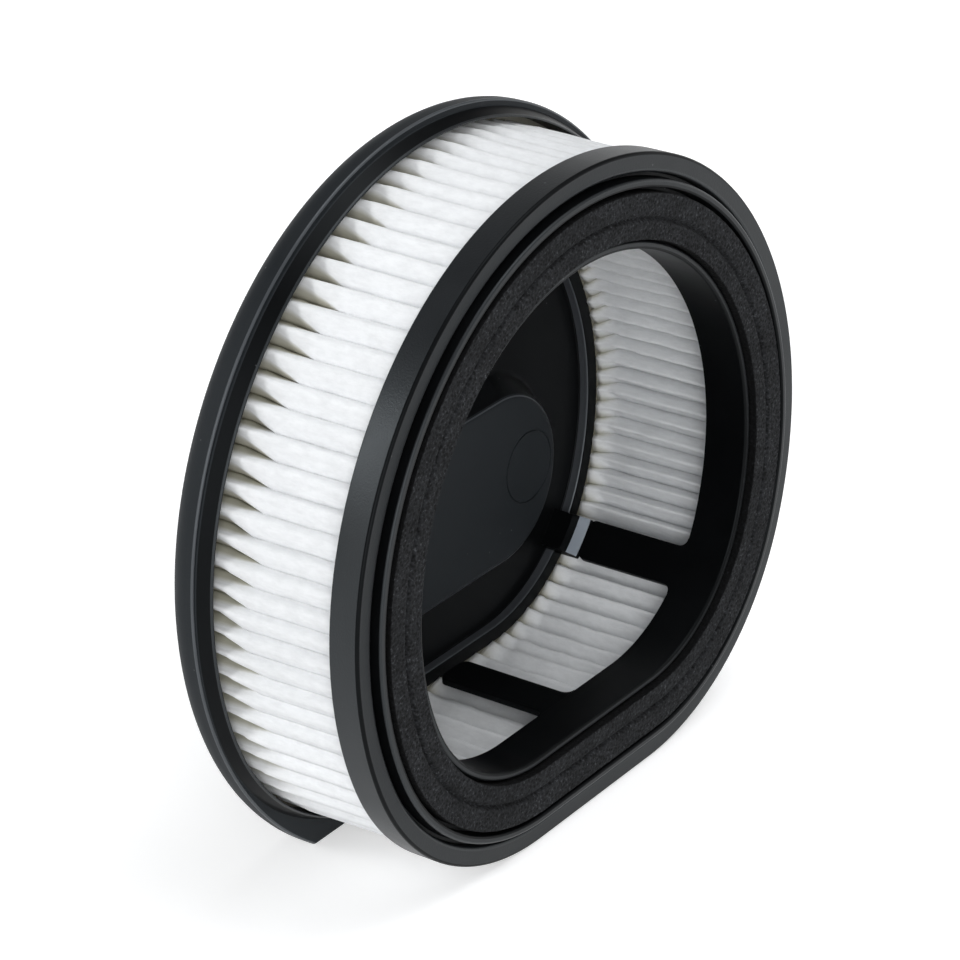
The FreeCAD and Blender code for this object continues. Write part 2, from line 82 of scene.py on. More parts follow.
def ring_points(distance, offset, level):
    """Points at offsets inward from the outline and levels behind the front band."""
    x, z, nx, nz = ring_frame(distance)
    return to_frame(x - nx * offset, level, z - nz * offset)


def smooth_step(x):
    t = np.clip(x, 0.0, 1.0)
    return t * t * (3.0 - 2.0 * t)


def wave_noise(seed, phases, count):
    """A smooth wobble made of random harmonics of the phase arrays."""
    dice = random.Random(seed)
    total = np.zeros(np.broadcast(*phases).shape)
    for _ in range(count):
        turns = [dice.randint(-6, 6) for _ in phases]
        shift = dice.uniform(0.0, 2.0 * math.pi)
        weight = dice.uniform(0.4, 1.0) / (1.0 + sum(abs(t) for t in turns) / 12.0)
        total = total + weight * np.sin(sum(t * p for t, p in zip(turns, phases)) + shift)
    return total / math.sqrt(count)


class Shell:
    """Collects vertices, faces and the material of each face."""

    def __init__(self):
        self.points = []
        self.faces = []
        self.slots = []
        self.count = 0

    def add_points(self, points):
        start = self.count
        points = np.asarray(points, float).reshape(-1, 3)
        self.points.append(points)
        self.count += len(points)
        return start

    def add_face(self, face, slot=0):
        self.faces.append(face)
        self.slots.append(slot)

    def add_grid(self, points, wrap_rows=False, wrap_columns=False, flip=False, slots=None):
        """A grid of points as quads; slots gives the material of each column of quads."""
        rows, columns = points.shape[:2]
        start = self.add_points(points)
        for r in range(rows if wrap_rows else rows - 1):
            a = start + r * columns
            b = start + (r + 1) % rows * columns
            for c in range(columns if wrap_columns else columns - 1):
                d = (c + 1) % columns
                quad = (a + c, a + d, b + d, b + c)
                self.add_face(quad[::-1] if flip else quad, slots[c] if slots is not None else 0)
        return start

    def add_closed_loft(self, grid, slots, end_slot):
        """A loft through closed loops, with a face over its last and its first loop."""
        rows, columns = grid.shape[:2]
        start = self.add_grid(grid, wrap_columns=True, slots=slots)
        last = start + (rows - 1) * columns
        self.add_face(tuple(range(last, last + columns)), end_slot)
        self.add_face(tuple(range(start + columns - 1, start - 1, -1)), end_slot)

    def piece(self, name, materials, sharp=None):
        mesh = bpy.data.meshes.new(name)
        mesh.from_pydata(np.concatenate(self.points).tolist(), [], self.faces)
        for material in materials:
            mesh.materials.append(material)
        mesh.polygons.foreach_set("material_index", self.slots)
        mesh.update()
        mesh.shade_smooth()
        if sharp is not None:
            mesh.set_sharp_from_angle(angle=math.radians(sharp))
        piece = bpy.data.objects.new(name, mesh)
        bpy.context.scene.collection.objects.link(piece)
        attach(piece, "root")
        return piece


# Rounded outlines: distance of the loops that hold a round, least such distance, share of a side for a round
SUPPORT = 0.06
LEAST_SUPPORT = 0.005
ROUND_SHARE = 0.45


def rounded_section(corners, segments=5):
    """A closed outline through (offset, level, radius, tag) corners, with a tight loop beside each round.

    A fifth entry of a corner tags its round alone. Returns the points and the tag of the side after each.
    """
    points = []
    tags = []
    count = len(corners)
    for i, (x, y, radius, tag, *round_tag) in enumerate(corners):
        before = np.array(corners[i - 1][:2])
        after = np.array(corners[(i + 1) % count][:2])
        here = np.array((x, y))
        inward = here - before
        outward = after - here
        room = ROUND_SHARE * min(np.linalg.norm(inward), np.linalg.norm(outward))
        inward = inward / np.linalg.norm(inward)
        outward = outward / np.linalg.norm(outward)
        cross = inward[0] * outward[1] - inward[1] * outward[0]
        turn = math.atan2(cross, float(inward @ outward))
        reach = min(radius * math.tan(abs(turn) / 2), room)
        radius = reach / math.tan(abs(turn) / 2)
        side = np.array((-inward[1], inward[0])) * math.copysign(1.0, turn)
        first = here - inward * reach
        centre = first + side * radius
        extra = min(SUPPORT, room - reach) if room > reach else 0.0
        if extra > LEAST_SUPPORT:
            points.append(first - inward * extra)
            tags.append(tag)
        for k in range(segments + 1):
            angle = turn * k / segments
            arm = first - centre
            c = math.cos(angle)
            s = math.sin(angle)
            points.append(centre + np.array((arm[0] * c - arm[1] * s, arm[0] * s + arm[1] * c)))
            tags.append(round_tag[0] if round_tag and k < segments else tag)
        if extra > LEAST_SUPPORT:
            points.append(here + outward * (reach + extra))
            tags.append(tag)
    return np.array(points), tags


# Materials

DUST_COLOUR = (0.07, 0.072, 0.076)
PLASTIC_TINT = (0.88, 0.96, 1.0, 1.0)
# Olive colour of the paper at the rear: glue wicked into it, darkened further as painted shade in the folds'
# valleys
GLUE_AND_SHADE_COLOUR = (0.42, 0.405, 0.325)


def new_material(name):
    material = bpy.data.materials.new(name)
    material.use_nodes = True
    tree = material.node_tree
    shader = tree.nodes["Principled BSDF"]
    return material, tree, shader


def add_node(tree, kind, **values):
    node = tree.nodes.new(kind)
    for key, entry in values.items():
        if key in node.inputs:
            node.inputs[key].default_value = entry
        else:
            setattr(node, key, entry)
    return node


def object_position(tree):
    return add_node(tree, "ShaderNodeTexCoord").outputs["Object"]


def noise(tree, position, scale, detail, roughness):
    node = add_node(tree, "ShaderNodeTexNoise", Scale=scale, Detail=detail, Roughness=roughness)
    tree.links.new(position, node.inputs["Vector"])
    return node.outputs["Fac"]


def voronoi(tree, position, scale):
    node = add_node(tree, "ShaderNodeTexVoronoi", Scale=scale, Randomness=1.0)
    tree.links.new(position, node.inputs["Vector"])
    return node


def calculated(tree, operation, first, second):
    """A Math node on a linked value and on another one or a number."""
    node = add_node(tree, "ShaderNodeMath", operation=operation)
    tree.links.new(first, node.inputs[0])
    if isinstance(second, float):
        node.inputs[1].default_value = second
    else:
        tree.links.new(second, node.inputs[1])
    return node.outputs[0]


def ramp(tree, source, stops):
    """A colour ramp; stops are (position, colour)."""
    node = tree.nodes.new("ShaderNodeValToRGB")
    elements = node.color_ramp.elements
    while len(elements) < len(stops):
        elements.new(0.5)
    for element, (place, colour) in zip(elements, stops):
        element.position = place
        element.color = (*colour, 1.0)
    tree.links.new(source, node.inputs["Fac"])
    return node.outputs["Color"]


def grey(level):
    return (level, level, level)


def mapped(tree, source, low, high, to_low, to_high):
    limits = {"From Min": low, "From Max": high, "To Min": to_low, "To Max": to_high}
    node = add_node(tree, "ShaderNodeMapRange", **limits)
    tree.links.new(source, node.inputs["Value"])
    return node.outputs["Result"]


def mixed(tree, kind, factor, first, second):
    node = tree.nodes.new("ShaderNodeMix")
    node.data_type = "RGBA"
    node.blend_type = kind
    for socket, entry in ((node.inputs[0], factor), (node.inputs[6], first), (node.inputs[7], second)):
        if isinstance(entry, tuple):
            socket.default_value = (*entry, 1.0)
        elif isinstance(entry, (int, float)):
            socket.default_value = entry
        else:
            tree.links.new(entry, socket)
    return node.outputs[2]


def bumped(tree, shader, height, strength, distance):
    node = add_node(tree, "ShaderNodeBump", Strength=strength, Distance=distance)
    tree.links.new(height, node.inputs["Height"])
    tree.links.new(node.outputs["Normal"], shader.inputs["Normal"])


def dust_specks(tree, position):
    """1 at the middle of a few scattered cells, 0 elsewhere."""
    cells = voronoi(tree, position, scale=260.0)
    chosen = add_node(tree, "ShaderNodeSeparateColor")
    tree.links.new(cells.outputs["Color"], chosen.inputs["Color"])
    spot = mapped(tree, cells.outputs["Distance"], 0.03, 0.07, 1.0, 0.0)
    rare = mapped(tree, chosen.outputs["Red"], 0.72, 0.74, 0.0, 1.0)
    return calculated(tree, "MULTIPLY", spot, rare)


def black_plastic(name, dark, light, rough, gloss, grain_strength):
    """Moulded black plastic with a fine grain, a cloudy sheen and a little dust."""
    material, tree, shader = new_material(name)
    position = object_position(tree)
    cloud = noise(tree, position, scale=45.0, detail=4.0, roughness=0.6)
    grain = noise(tree, position, scale=2600.0, detail=2.0, roughness=0.5)
    base = ramp(tree, cloud, [(0.3, dark), (0.7, light)])
    colour = mixed(tree, "MIX", dust_specks(tree, position), base, DUST_COLOUR)
    tree.links.new(colour, shader.inputs["Base Color"])
    sheen = mapped(tree, cloud, 0.3, 0.7, rough - 0.05, rough + 0.05)
    tree.links.new(sheen, shader.inputs["Roughness"])
    shader.inputs["Specular IOR Level"].default_value = gloss
    shader.inputs["Specular Tint"].default_value = PLASTIC_TINT
    bumped(tree, shader, grain, strength=grain_strength, distance=0.0001)
    return material


def charcoal_foam(name, pore, wall):
    """Open-cell foam: dark pores between lighter cell walls, with a few pale threads."""
    material, tree, shader = new_material(name)
    position = object_position(tree)
    pores = voronoi(tree, position, scale=1300.0)
    fine = noise(tree, position, scale=1500.0, detail=4.0, roughness=0.75)
    patches = noise(tree, position, scale=150.0, detail=3.0, roughness=0.6)
    walls = ramp(tree, pores.outputs["Distance"], [(0.1, pore), (0.6, wall)])
    flecks = ramp(tree, fine, [(0.35, grey(0.45)), (0.58, grey(1.2)), (0.7, grey(4.2))])
    colour = mixed(tree, "MULTIPLY", 1.0, walls, flecks)
    shade = ramp(tree, patches, [(0.3, grey(0.7)), (0.7, grey(1.2))])
    colour = mixed(tree, "MULTIPLY", 1.0, colour, shade)
    tree.links.new(colour, shader.inputs["Base Color"])
    shader.inputs["Roughness"].default_value = 0.95
    shader.inputs["Specular IOR Level"].default_value = 0.15
    height = mixed(tree, "MIX", 0.5, pores.outputs["Distance"], fine)
    bumped(tree, shader, height, strength=1.0, distance=0.0004)
    return material


def filter_paper(name):
    """White fibrous sheet, tinted olive at the rear: partly the glue wicking into it, partly painted shade in
    the valleys of the folds.
    """
    material, tree, shader = new_material(name)
    position = object_position(tree)
    stretch = add_node(tree, "ShaderNodeMapping")
    stretch.inputs["Scale"].default_value = (1.0, 0.35, 1.0)
    tree.links.new(position, stretch.inputs["Vector"])
    fibres = noise(tree, stretch.outputs["Vector"], scale=900.0, detail=5.0, roughness=0.65)
    lumps = noise(tree, position, scale=210.0, detail=3.0, roughness=0.55)
    tone = ramp(tree, lumps, [(0.25, (0.815, 0.825, 0.835)), (0.75, (0.865, 0.875, 0.885))])
    fleck = ramp(tree, fibres, [(0.25, grey(0.9)), (0.6, grey(1.0))])
    colour = mixed(tree, "MULTIPLY", 1.0, tone, fleck)
    # Per-point olive tint: glue tint and painted shade
    glue_and_shade = add_node(tree, "ShaderNodeAttribute", attribute_name="glue_and_shade")
    colour = mixed(tree, "MIX", glue_and_shade.outputs["Fac"], colour, GLUE_AND_SHADE_COLOUR)
    tree.links.new(colour, shader.inputs["Base Color"])
    shader.inputs["Roughness"].default_value = 0.9
    shader.inputs["Specular IOR Level"].default_value = 0.2
    height = mixed(tree, "MIX", 0.45, lumps, fibres)
    bumped(tree, shader, height, strength=0.55, distance=0.0004)
    return material


def hot_melt_in_painted_shade(name):
    """Cloudy glue, darkened to olive: painted shade for the glue seen deep between the folds."""
    material, tree, shader = new_material(name)
    cloud = noise(tree, object_position(tree), scale=160.0, detail=3.0, roughness=0.55)
    # Olive colours far darker than the glue itself: painted shade
    colour = ramp(tree, cloud, [(0.3, (0.15, 0.142, 0.108)), (0.7, (0.21, 0.2, 0.155))])
    tree.links.new(colour, shader.inputs["Base Color"])
    shader.inputs["Roughness"].default_value = 0.42
    bumped(tree, shader, cloud, strength=0.4, distance=0.0006)
    return material


satin = black_plastic("black_plastic_satin", (0.0055, 0.0062, 0.0072), (0.009, 0.0098, 0.0112),
                      rough=0.40, gloss=0.42, grain_strength=0.4)
front_face = black_plastic("black_plastic_front_face", (0.005, 0.0056, 0.0064), (0.008, 0.0088, 0.01),
                           rough=0.42, gloss=0.28, grain_strength=0.2)
# A darker copy of the black plastic with little gloss: painted shade on the inner and recessed faces, the
# legs, posts, tray, dam, floor and boss sides, and the bead's slope
dull_with_painted_shade = black_plastic("black_plastic_dull_painted_shade", (0.0022, 0.0024, 0.0027), (0.0034, 0.0037, 0.0041),
                     rough=0.35, gloss=0.08, grain_strength=0.04)
frosted = black_plastic("black_plastic_frosted", (0.0085, 0.0102, 0.0122), (0.012, 0.0138, 0.016),
                        rough=0.60, gloss=0.22, grain_strength=0.2)
# Light grey plastic on thin edge loops: painted highlight lines along the cap's rim, the dam's inner edge and
# the boss's edge
painted_highlight = black_plastic("black_plastic_painted_highlight_edge", (0.04, 0.043, 0.048), (0.055, 0.059, 0.065),
                     rough=0.35, gloss=0.50, grain_strength=0.1)
# Light bluish grey on black plastic: a painted highlight on the front of each post's ramp
ramp_painted_highlight = black_plastic("black_plastic_ramp_painted_highlight", (0.24, 0.27, 0.31), (0.28, 0.31, 0.35),
                            rough=0.32, gloss=0.50, grain_strength=0.1)
foam = charcoal_foam("charcoal_foam_cells", grey(0.005), (0.022, 0.023, 0.025))
# A darker copy of the foam on the gasket's side walls
foam_darker_sides = charcoal_foam("charcoal_foam_darker_sides", grey(0.001), (0.0028, 0.003, 0.0034))
paper = filter_paper("filter_paper_fibres")
glue = hot_melt_in_painted_shade("hot_melt_cloudy_painted_shade")

# Glue beds, which keep the shape of the solids

CREASE_ANGLE = 28.0


def dress(node, material):
    piece = nodes[node]
    piece.data.materials.clear()
    piece.data.materials.append(material)
    piece.data.shade_smooth()
    split = piece.modifiers.new("creases", "EDGE_SPLIT")
    split.split_angle = math.radians(CREASE_ANGLE)


# The glue beds take the glue darkened as painted shade
dress("front_adhesive", glue)
dress("rear_adhesive", glue)

# Front frame: ring section swept round the outline, and the legs of the cage

SEAT = 2.0
WALL_INNER = 1.0
WALL_REAR = 6.7
PLATE_REAR = 3.4
GROOVE_OUTER = 4.2
RIB_OUTER = 5.1
RIB_INNER = 6.8
RIB_FRONT = -1.5
LIP_OUTER = 17.6
LIP_INNER = 19.2
LIP_FRONT = -0.4
CAGE_REAR = 9.6
LEG_REAR = 36.0
SIDE_LEG_REAR = 33.8
LEG_WIDTH = 9.0
LEG_ROOT = 2.0
LEG_END = 1.5
LEG_BEVEL = 0.25
LEG_OVERLAP = 0.5  # how far a leg's root reaches into the cage band
LEG_SUPPORT = 0.3
LEG_END_SHARE = 0.93
LEG_TIP = 0.2
LEG_INSET = 0.012  # keeps a leg's faces off the faces of the cage band
LEG_END_INSET = 0.22
SIDE_LEG_TURN = math.radians(90.0 + 42.0)
SIDE_LEG = SIDE_LENGTH + CORNER_RADIUS * (SIDE_LEG_TURN - SIDE_TURN)
RING_COLUMNS = 640
RING_CREASE = 40.0

# Material slots of the two mouldings; the third is the front face on the ring and frosted on the cap
SATIN = 0
DULL_PAINTED_SHADE = 1
FACE = 2
FROSTED = 2
PAINTED_HIGHLIGHT = 3
RAMP_PAINTED_HIGHLIGHT = 4

RING_SECTION = [
    # The round at the front outer edge takes the darker plastic: a painted shade line along the edge
    (0.0, 0.0, 0.6, FACE, DULL_PAINTED_SHADE),
    (GROOVE_OUTER, 0.0, 0.8, SATIN),
    (GROOVE_OUTER, SEAT, 0.2, DULL_PAINTED_SHADE),
    (RIB_OUTER, SEAT, 0.2, DULL_PAINTED_SHADE),
    (RIB_OUTER, RIB_FRONT, 0.5, FACE, SATIN),
    (RIB_INNER, RIB_FRONT, 0.5, DULL_PAINTED_SHADE),
    (RIB_INNER, SEAT, 0.2, DULL_PAINTED_SHADE),
    (LIP_OUTER, SEAT, 0.2, DULL_PAINTED_SHADE),
    (LIP_OUTER, LIP_FRONT, 0.5, FACE),
    (LIP_INNER, LIP_FRONT, 0.5, DULL_PAINTED_SHADE),
    (LIP_INNER, CAGE_REAR, 0.3, DULL_PAINTED_SHADE),
    (LIP_OUTER, CAGE_REAR, 0.3, DULL_PAINTED_SHADE),
    (LIP_OUTER, PLATE_REAR, 0.3, DULL_PAINTED_SHADE),
    (WALL_INNER, PLATE_REAR, 0.3, DULL_PAINTED_SHADE),
    (WALL_INNER, WALL_REAR, 0.25, DULL_PAINTED_SHADE),
    (0.0, WALL_REAR, 0.3, SATIN),
]


def leg_rows(end):
    """Levels and half widths down a leg, with a flared root and rounded end corners."""
    half = LEG_WIDTH / 2
    rows = [(CAGE_REAR - LEG_OVERLAP, half + LEG_ROOT)]
    for turn in np.linspace(0.0, QUARTER, 8):
        flare = half + LEG_ROOT * (1.0 - math.sin(turn))
        rows.append((CAGE_REAR + LEG_ROOT * (1.0 - math.cos(turn)), flare))
    rows.append((CAGE_REAR + LEG_ROOT + LEG_SUPPORT, half))
    rows.append((end - LEG_END - LEG_SUPPORT, half))
    for turn in np.linspace(0.0, QUARTER * LEG_END_SHARE, 8):
        rows.append((end - LEG_END + LEG_END * math.sin(turn), half - LEG_END * (1.0 - math.cos(turn))))
    rows.append((end, rows[-1][1] - LEG_TIP))
    return rows


def leg_loop(half, near, far):
    """Distances across and offsets round a leg's section, which has bevelled corners."""
    edge = half - LEG_BEVEL
    turns = np.linspace(0.0, QUARTER, 4)
    loop = []
    for across in np.linspace(-edge, edge, 11):
        loop.append((across, far))
    for turn in turns[1:]:
        loop.append((edge + LEG_BEVEL * math.sin(turn), far - LEG_BEVEL + LEG_BEVEL * math.cos(turn)))
    for turn in turns:
        loop.append((edge + LEG_BEVEL * math.cos(turn), near + LEG_BEVEL - LEG_BEVEL * math.sin(turn)))
    for across in np.linspace(edge, -edge, 11)[1:]:
        loop.append((across, near))
    for turn in turns[1:]:
        loop.append((-edge - LEG_BEVEL * math.sin(turn), near + LEG_BEVEL - LEG_BEVEL * math.cos(turn)))
    for turn in turns[:-1]:
        loop.append((-edge - LEG_BEVEL * math.cos(turn), far - LEG_BEVEL + LEG_BEVEL * math.sin(turn)))
    return np.array(loop)


def add_leg(shell, middle, stretch, end):
    """A leg as a loft of bevelled strips that follow the outline."""
    loops = []
    rows = leg_rows(end)
    for index, (level, half) in enumerate(rows):
        inset = LEG_INSET + (LEG_END_INSET if index == len(rows) - 1 else 0.0)
        loop = leg_loop(half, LIP_OUTER + inset, LIP_INNER - inset)
        loops.append(ring_points(middle + loop[:, 0] * stretch, loop[:, 1], np.full(len(loop), level)))
    grid = np.array(loops)
    shell.add_closed_loft(grid, [DULL_PAINTED_SHADE] * grid.shape[1], DULL_PAINTED_SHADE)


def front_frame():
    shell = Shell()
    section, tags = rounded_section(RING_SECTION)
    distance = (np.arange(RING_COLUMNS) * RING_LENGTH / RING_COLUMNS)[:, None]
    grid = ring_points(distance, section[None, :, 0], section[None, :, 1])
    shell.add_grid(grid, wrap_rows=True, wrap_columns=True, slots=tags)
    wall = (LIP_OUTER + LIP_INNER) / 2
    corner_stretch = CORNER_RADIUS / (CORNER_RADIUS - wall)
    add_leg(shell, 0.0, RING_RADIUS / (RING_RADIUS - wall), LEG_REAR)
    add_leg(shell, RING_LENGTH / 2, 1.0, LEG_REAR)
    add_leg(shell, SIDE_LEG, corner_stretch, SIDE_LEG_REAR)
    add_leg(shell, RING_LENGTH - SIDE_LEG, corner_stretch, SIDE_LEG_REAR)
    return shell.piece("ring_and_cage", [satin, dull_with_painted_shade, front_face], RING_CREASE)


ring = front_frame()
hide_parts("front_frame")

# Rear cap: closed loops from the recess at the rear, round the rim, to the face of the boss

FLANGE_RADIUS = 77.99
FLANGE_CENTRE = 62.7
FLANGE_FRONT = 36.8
REAR_FACE_RADIUS = 72.2
REAR_FACE_FLAT = 0.3
RIM_ROUND = 5.0
RIM_EDGE = 0.4
RIM_INSET = 0.46
RIM_FROM_REAR = 5.2  # where the rim's straight part begins, from the cap's rear
RIM_FROM_FRONT = 0.55  # where it ends, from the flange's front
BEAD_FOOT = 77.3
BEAD_TOP = 75.85
BEAD_FRONT = 33.7
BEAD_ROUND = 0.25
BEAD_ROUND_START = 0.2
BEAD_ROUND_LIFT = 0.1
BEAD_DIP = 0.05
BEAD_FLAT = 0.03
BEAD_FLAT_RADIUS = 76.7  # below it the bead's flat rises to the tray's
TRAY_RADIUS = 75.5
TRAY_FLAT = 0.9
FLOOR = 42.4
CAP_REAR = 43.8
DAM_FRONT = 40.1
DAM_OUTER = 15.2
DAM_INNER = 18.4
DAM_ROUND = 0.5
DAM_FILLET = 0.3
DAM_MARGIN = 0.5
DAM_HIGHLIGHT_TURN = 1.0
BOSS_CENTRE = 53.6
BOSS_HALF = 18.4
BOSS_SPACING = 20.6
BOSS_FACE = 36.5
BOSS_SLOPE = math.tan(math.radians(30.0))
BOSS_BASE = BOSS_HALF + (FLOOR - BOSS_FACE) * BOSS_SLOPE
# Loops of the round at the boss's edge: growth of its half width, drop behind its face, material
# The second loop of the boss's edge carries a painted highlight
BOSS_ROUND = [(0.28, 0.62, FROSTED), (0.02, 0.36, PAINTED_HIGHLIGHT), (-0.26, 0.16, FROSTED), (-0.58, 0.04, FROSTED),
              (-0.95, 0.0, FROSTED)]
# Loops up the boss's side: half width, level, material
BOSS_SIDE = [(BOSS_BASE + 0.75, FLOOR, DULL_PAINTED_SHADE),
             (BOSS_BASE + 0.45, FLOOR, DULL_PAINTED_SHADE),
             (BOSS_BASE - 0.35 * BOSS_SLOPE, FLOOR - 0.35, DULL_PAINTED_SHADE),
             (BOSS_HALF + 0.9 * BOSS_SLOPE + 0.12, BOSS_FACE + 0.9, DULL_PAINTED_SHADE)]
# Loops up the bead's outer face: radius, level, material
BEAD_FACE = [(BEAD_FOOT, FLANGE_FRONT, FROSTED),
             (BEAD_FOOT - 0.15, FLANGE_FRONT - 0.25, DULL_PAINTED_SHADE),
             (BEAD_TOP + 0.2, BEAD_FRONT + 0.4, SATIN)]
RECESS_HALF = 16.0
RECESS_FLOOR = 38.0
RECESS_FILLET = 0.4
RECESS_ROUND = 0.5
RECESS_MARGIN = 0.8
MARK_SPACING = 29.5
MARK_RADIUS = 8.0
MARK_WIDTH = 0.35
MARK_DEPTH = 0.25
MARK_TAPER = 0.08
MARK_STEPS = 96
POST_FRONT = 34.0
POST_FOOT = FLOOR + 0.6
POST_INNER = 20.8
POST_RAMP_DEPTH = 1.6
POST_RAMP_LENGTH = 3.6
# Share of the ramp's front that carries the painted highlight
POST_HIGHLIGHT_SHARE = 0.6
POST_ROUND = 0.2
POST_SHARP = 0.0001
POST_EDGE = 0.2
POST_EDGE_START = 0.06
POST_COLUMNS = 11
CAP_CREASE = 33.0

SIDE_COUNT = 150
BEND_COUNT = 60
RIM_COUNT = BEND_COUNT * 3 // 5
FLAT_COUNT = 24


def half_loop(side, bend, flat):
    """Joins the right half of a loop, from the top down, with its mirror image."""
    right = np.concatenate([side, bend, flat])
    left = right[1:-1][::-1] * np.array((-1.0, 1.0))
    return np.concatenate([right, left])


def d_half(radius, corner, flat):
    """A D about the ring's centre."""
    rise = RING_CENTRE - flat - corner
    across = math.sqrt((radius - corner) ** 2 - rise ** 2)
    turn = math.pi / 2 + math.atan2(rise, across)
    a = np.linspace(0.0, turn, SIDE_COUNT)
    side = np.stack([radius * np.sin(a), RING_CENTRE + radius * np.cos(a)], -1)
    b = np.linspace(turn, math.pi, BEND_COUNT + 1)[1:]
    bend = np.stack([across + corner * np.sin(b), flat + corner + corner * np.cos(b)], -1)
    base = np.linspace(across, 0.0, FLAT_COUNT + 1)[1:]
    return half_loop(side, bend, np.stack([base, np.full(FLAT_COUNT, flat)], -1))


def chord_half(radius, flat=0.0):
    """A circle about the flange's centre, cut off by a level chord."""
    a = np.linspace(0.0, SIDE_TURN, SIDE_COUNT)
    side = np.stack([radius * np.sin(a), FLANGE_CENTRE + radius * np.cos(a)], -1)
    end = math.acos((flat - FLANGE_CENTRE) / radius)
    b = np.linspace(SIDE_TURN, end, RIM_COUNT + 1)[1:]
    rim = np.stack([radius * np.sin(b), FLANGE_CENTRE + radius * np.cos(b)], -1)
    c = np.linspace(radius * math.sin(end), CORNER_ACROSS, BEND_COUNT - RIM_COUNT + 1)[1:]
    chord = np.stack([c, np.full(len(c), flat)], -1)
    base = np.linspace(CORNER_ACROSS, 0.0, FLAT_COUNT + 1)[1:]
    return half_loop(side, np.concatenate([rim, chord]), np.stack([base, np.full(FLAT_COUNT, flat)], -1))


def bead_outline(radius):
    """The bead's outline, which keeps clear of the floor."""
    return d_half(radius, CORNER_RADIUS, min(TRAY_FLAT, BEAD_FLAT + max(0.0, BEAD_FLAT_RADIUS - radius)))


def ring_d(offset):
    """The ring's outline, moved inward."""
    return d_half(RING_RADIUS - offset, CORNER_RADIUS - offset, offset)


DAM_LOOP = ring_d(DAM_INNER)
BOSS_DIRECTIONS = np.arctan2(DAM_LOOP[:, 0], DAM_LOOP[:, 1] - BOSS_CENTRE)


def boss_outline(half):
    """Points of an obround about the boss's centre, in the directions of the dam's points."""
    result = []
    for angle in BOSS_DIRECTIONS:
        c = math.sin(angle)
        s = math.cos(angle)
        level = abs(half / s) if abs(s) > 1e-9 else 1e9
        if abs(level * c) <= BOSS_SPACING:
            reach = level
        else:
            along = BOSS_SPACING * abs(c)
            reach = along + math.sqrt(max(along ** 2 - BOSS_SPACING ** 2 + half ** 2, 0.0))
        result.append((reach * c, BOSS_CENTRE + reach * s))
    return np.array(result)


def rear_loops():
    """Outline, level and material of each loop, from the recess round the rim to the flange's front."""
    loops = [(boss_outline(RECESS_HALF - RECESS_FILLET), RECESS_FLOOR, SATIN),
             (boss_outline(RECESS_HALF), RECESS_FLOOR + RECESS_FILLET, SATIN)]
    for t in np.linspace(0.0, QUARTER, 5):
        half = RECESS_HALF + RECESS_ROUND * (1.0 - math.cos(t))
        loops.append((boss_outline(half), CAP_REAR - RECESS_ROUND + RECESS_ROUND * math.sin(t), SATIN))
    loops.append((boss_outline(RECESS_HALF + RECESS_MARGIN), CAP_REAR, SATIN))
    loops.append((chord_half(REAR_FACE_RADIUS, REAR_FACE_FLAT), CAP_REAR, SATIN))
    for t in np.linspace(0.0, QUARTER, 12):
        radius = FLANGE_RADIUS - RIM_ROUND + RIM_ROUND * math.sin(t)
        loops.append((chord_half(radius), CAP_REAR - RIM_ROUND + RIM_ROUND * math.cos(t), FROSTED))
    loops.append((chord_half(FLANGE_RADIUS), CAP_REAR - RIM_FROM_REAR, FROSTED))
    loops.append((chord_half(FLANGE_RADIUS), FLANGE_FRONT + RIM_FROM_FRONT, FROSTED))
    # The round at the flange's front edge carries a painted highlight line
    for t in np.linspace(0.0, QUARTER, 6):
        radius = FLANGE_RADIUS - RIM_EDGE * (1.0 - math.cos(t))
        loops.append((chord_half(radius), FLANGE_FRONT + RIM_EDGE * (1.0 - math.sin(t)), PAINTED_HIGHLIGHT))
    loops.append((chord_half(FLANGE_RADIUS - RIM_INSET, BEAD_FLAT / 2), FLANGE_FRONT, FROSTED))
    return loops


def tray_loops():
    """Loops from the bead's foot over the bead, through the tray and over the dam to the floor."""
    loops = [(bead_outline(radius), level, slot) for radius, level, slot in BEAD_FACE]
    for t in np.linspace(BEAD_ROUND_START, QUARTER, 4):
        radius = BEAD_TOP + BEAD_ROUND_LIFT - BEAD_ROUND * (1.0 - math.cos(t))
        loops.append((bead_outline(radius), BEAD_FRONT + BEAD_ROUND * (1.0 - math.sin(t)), SATIN))
    loops.append((bead_outline(TRAY_RADIUS), BEAD_FRONT + BEAD_DIP, DULL_PAINTED_SHADE))
    loops.append((d_half(TRAY_RADIUS, CORNER_RADIUS, TRAY_FLAT), FLOOR, DULL_PAINTED_SHADE))
    loops.append((ring_d(DAM_OUTER), FLOOR, DULL_PAINTED_SHADE))
    loops.append((ring_d(DAM_OUTER), DAM_FRONT, DULL_PAINTED_SHADE))
    for t in np.linspace(QUARTER, 0.0, 6):
        outline = ring_d(DAM_INNER - DAM_ROUND * (1.0 - math.cos(t)))
        # The turns nearest the dam's inner edge carry a painted highlight line
        slot = PAINTED_HIGHLIGHT if t < DAM_HIGHLIGHT_TURN else DULL_PAINTED_SHADE
        loops.append((outline, DAM_FRONT + DAM_ROUND * (1.0 - math.sin(t)), slot))
    loops.append((DAM_LOOP, FLOOR - DAM_FILLET, DULL_PAINTED_SHADE))
    for t in np.linspace(0.0, QUARTER, 4)[1:]:
        outline = ring_d(DAM_INNER + DAM_FILLET * (1.0 - math.cos(t)))
        loops.append((outline, FLOOR - DAM_FILLET + DAM_FILLET * math.sin(t), DULL_PAINTED_SHADE))
    loops.append((ring_d(DAM_INNER + DAM_MARGIN), FLOOR, DULL_PAINTED_SHADE))
    return loops


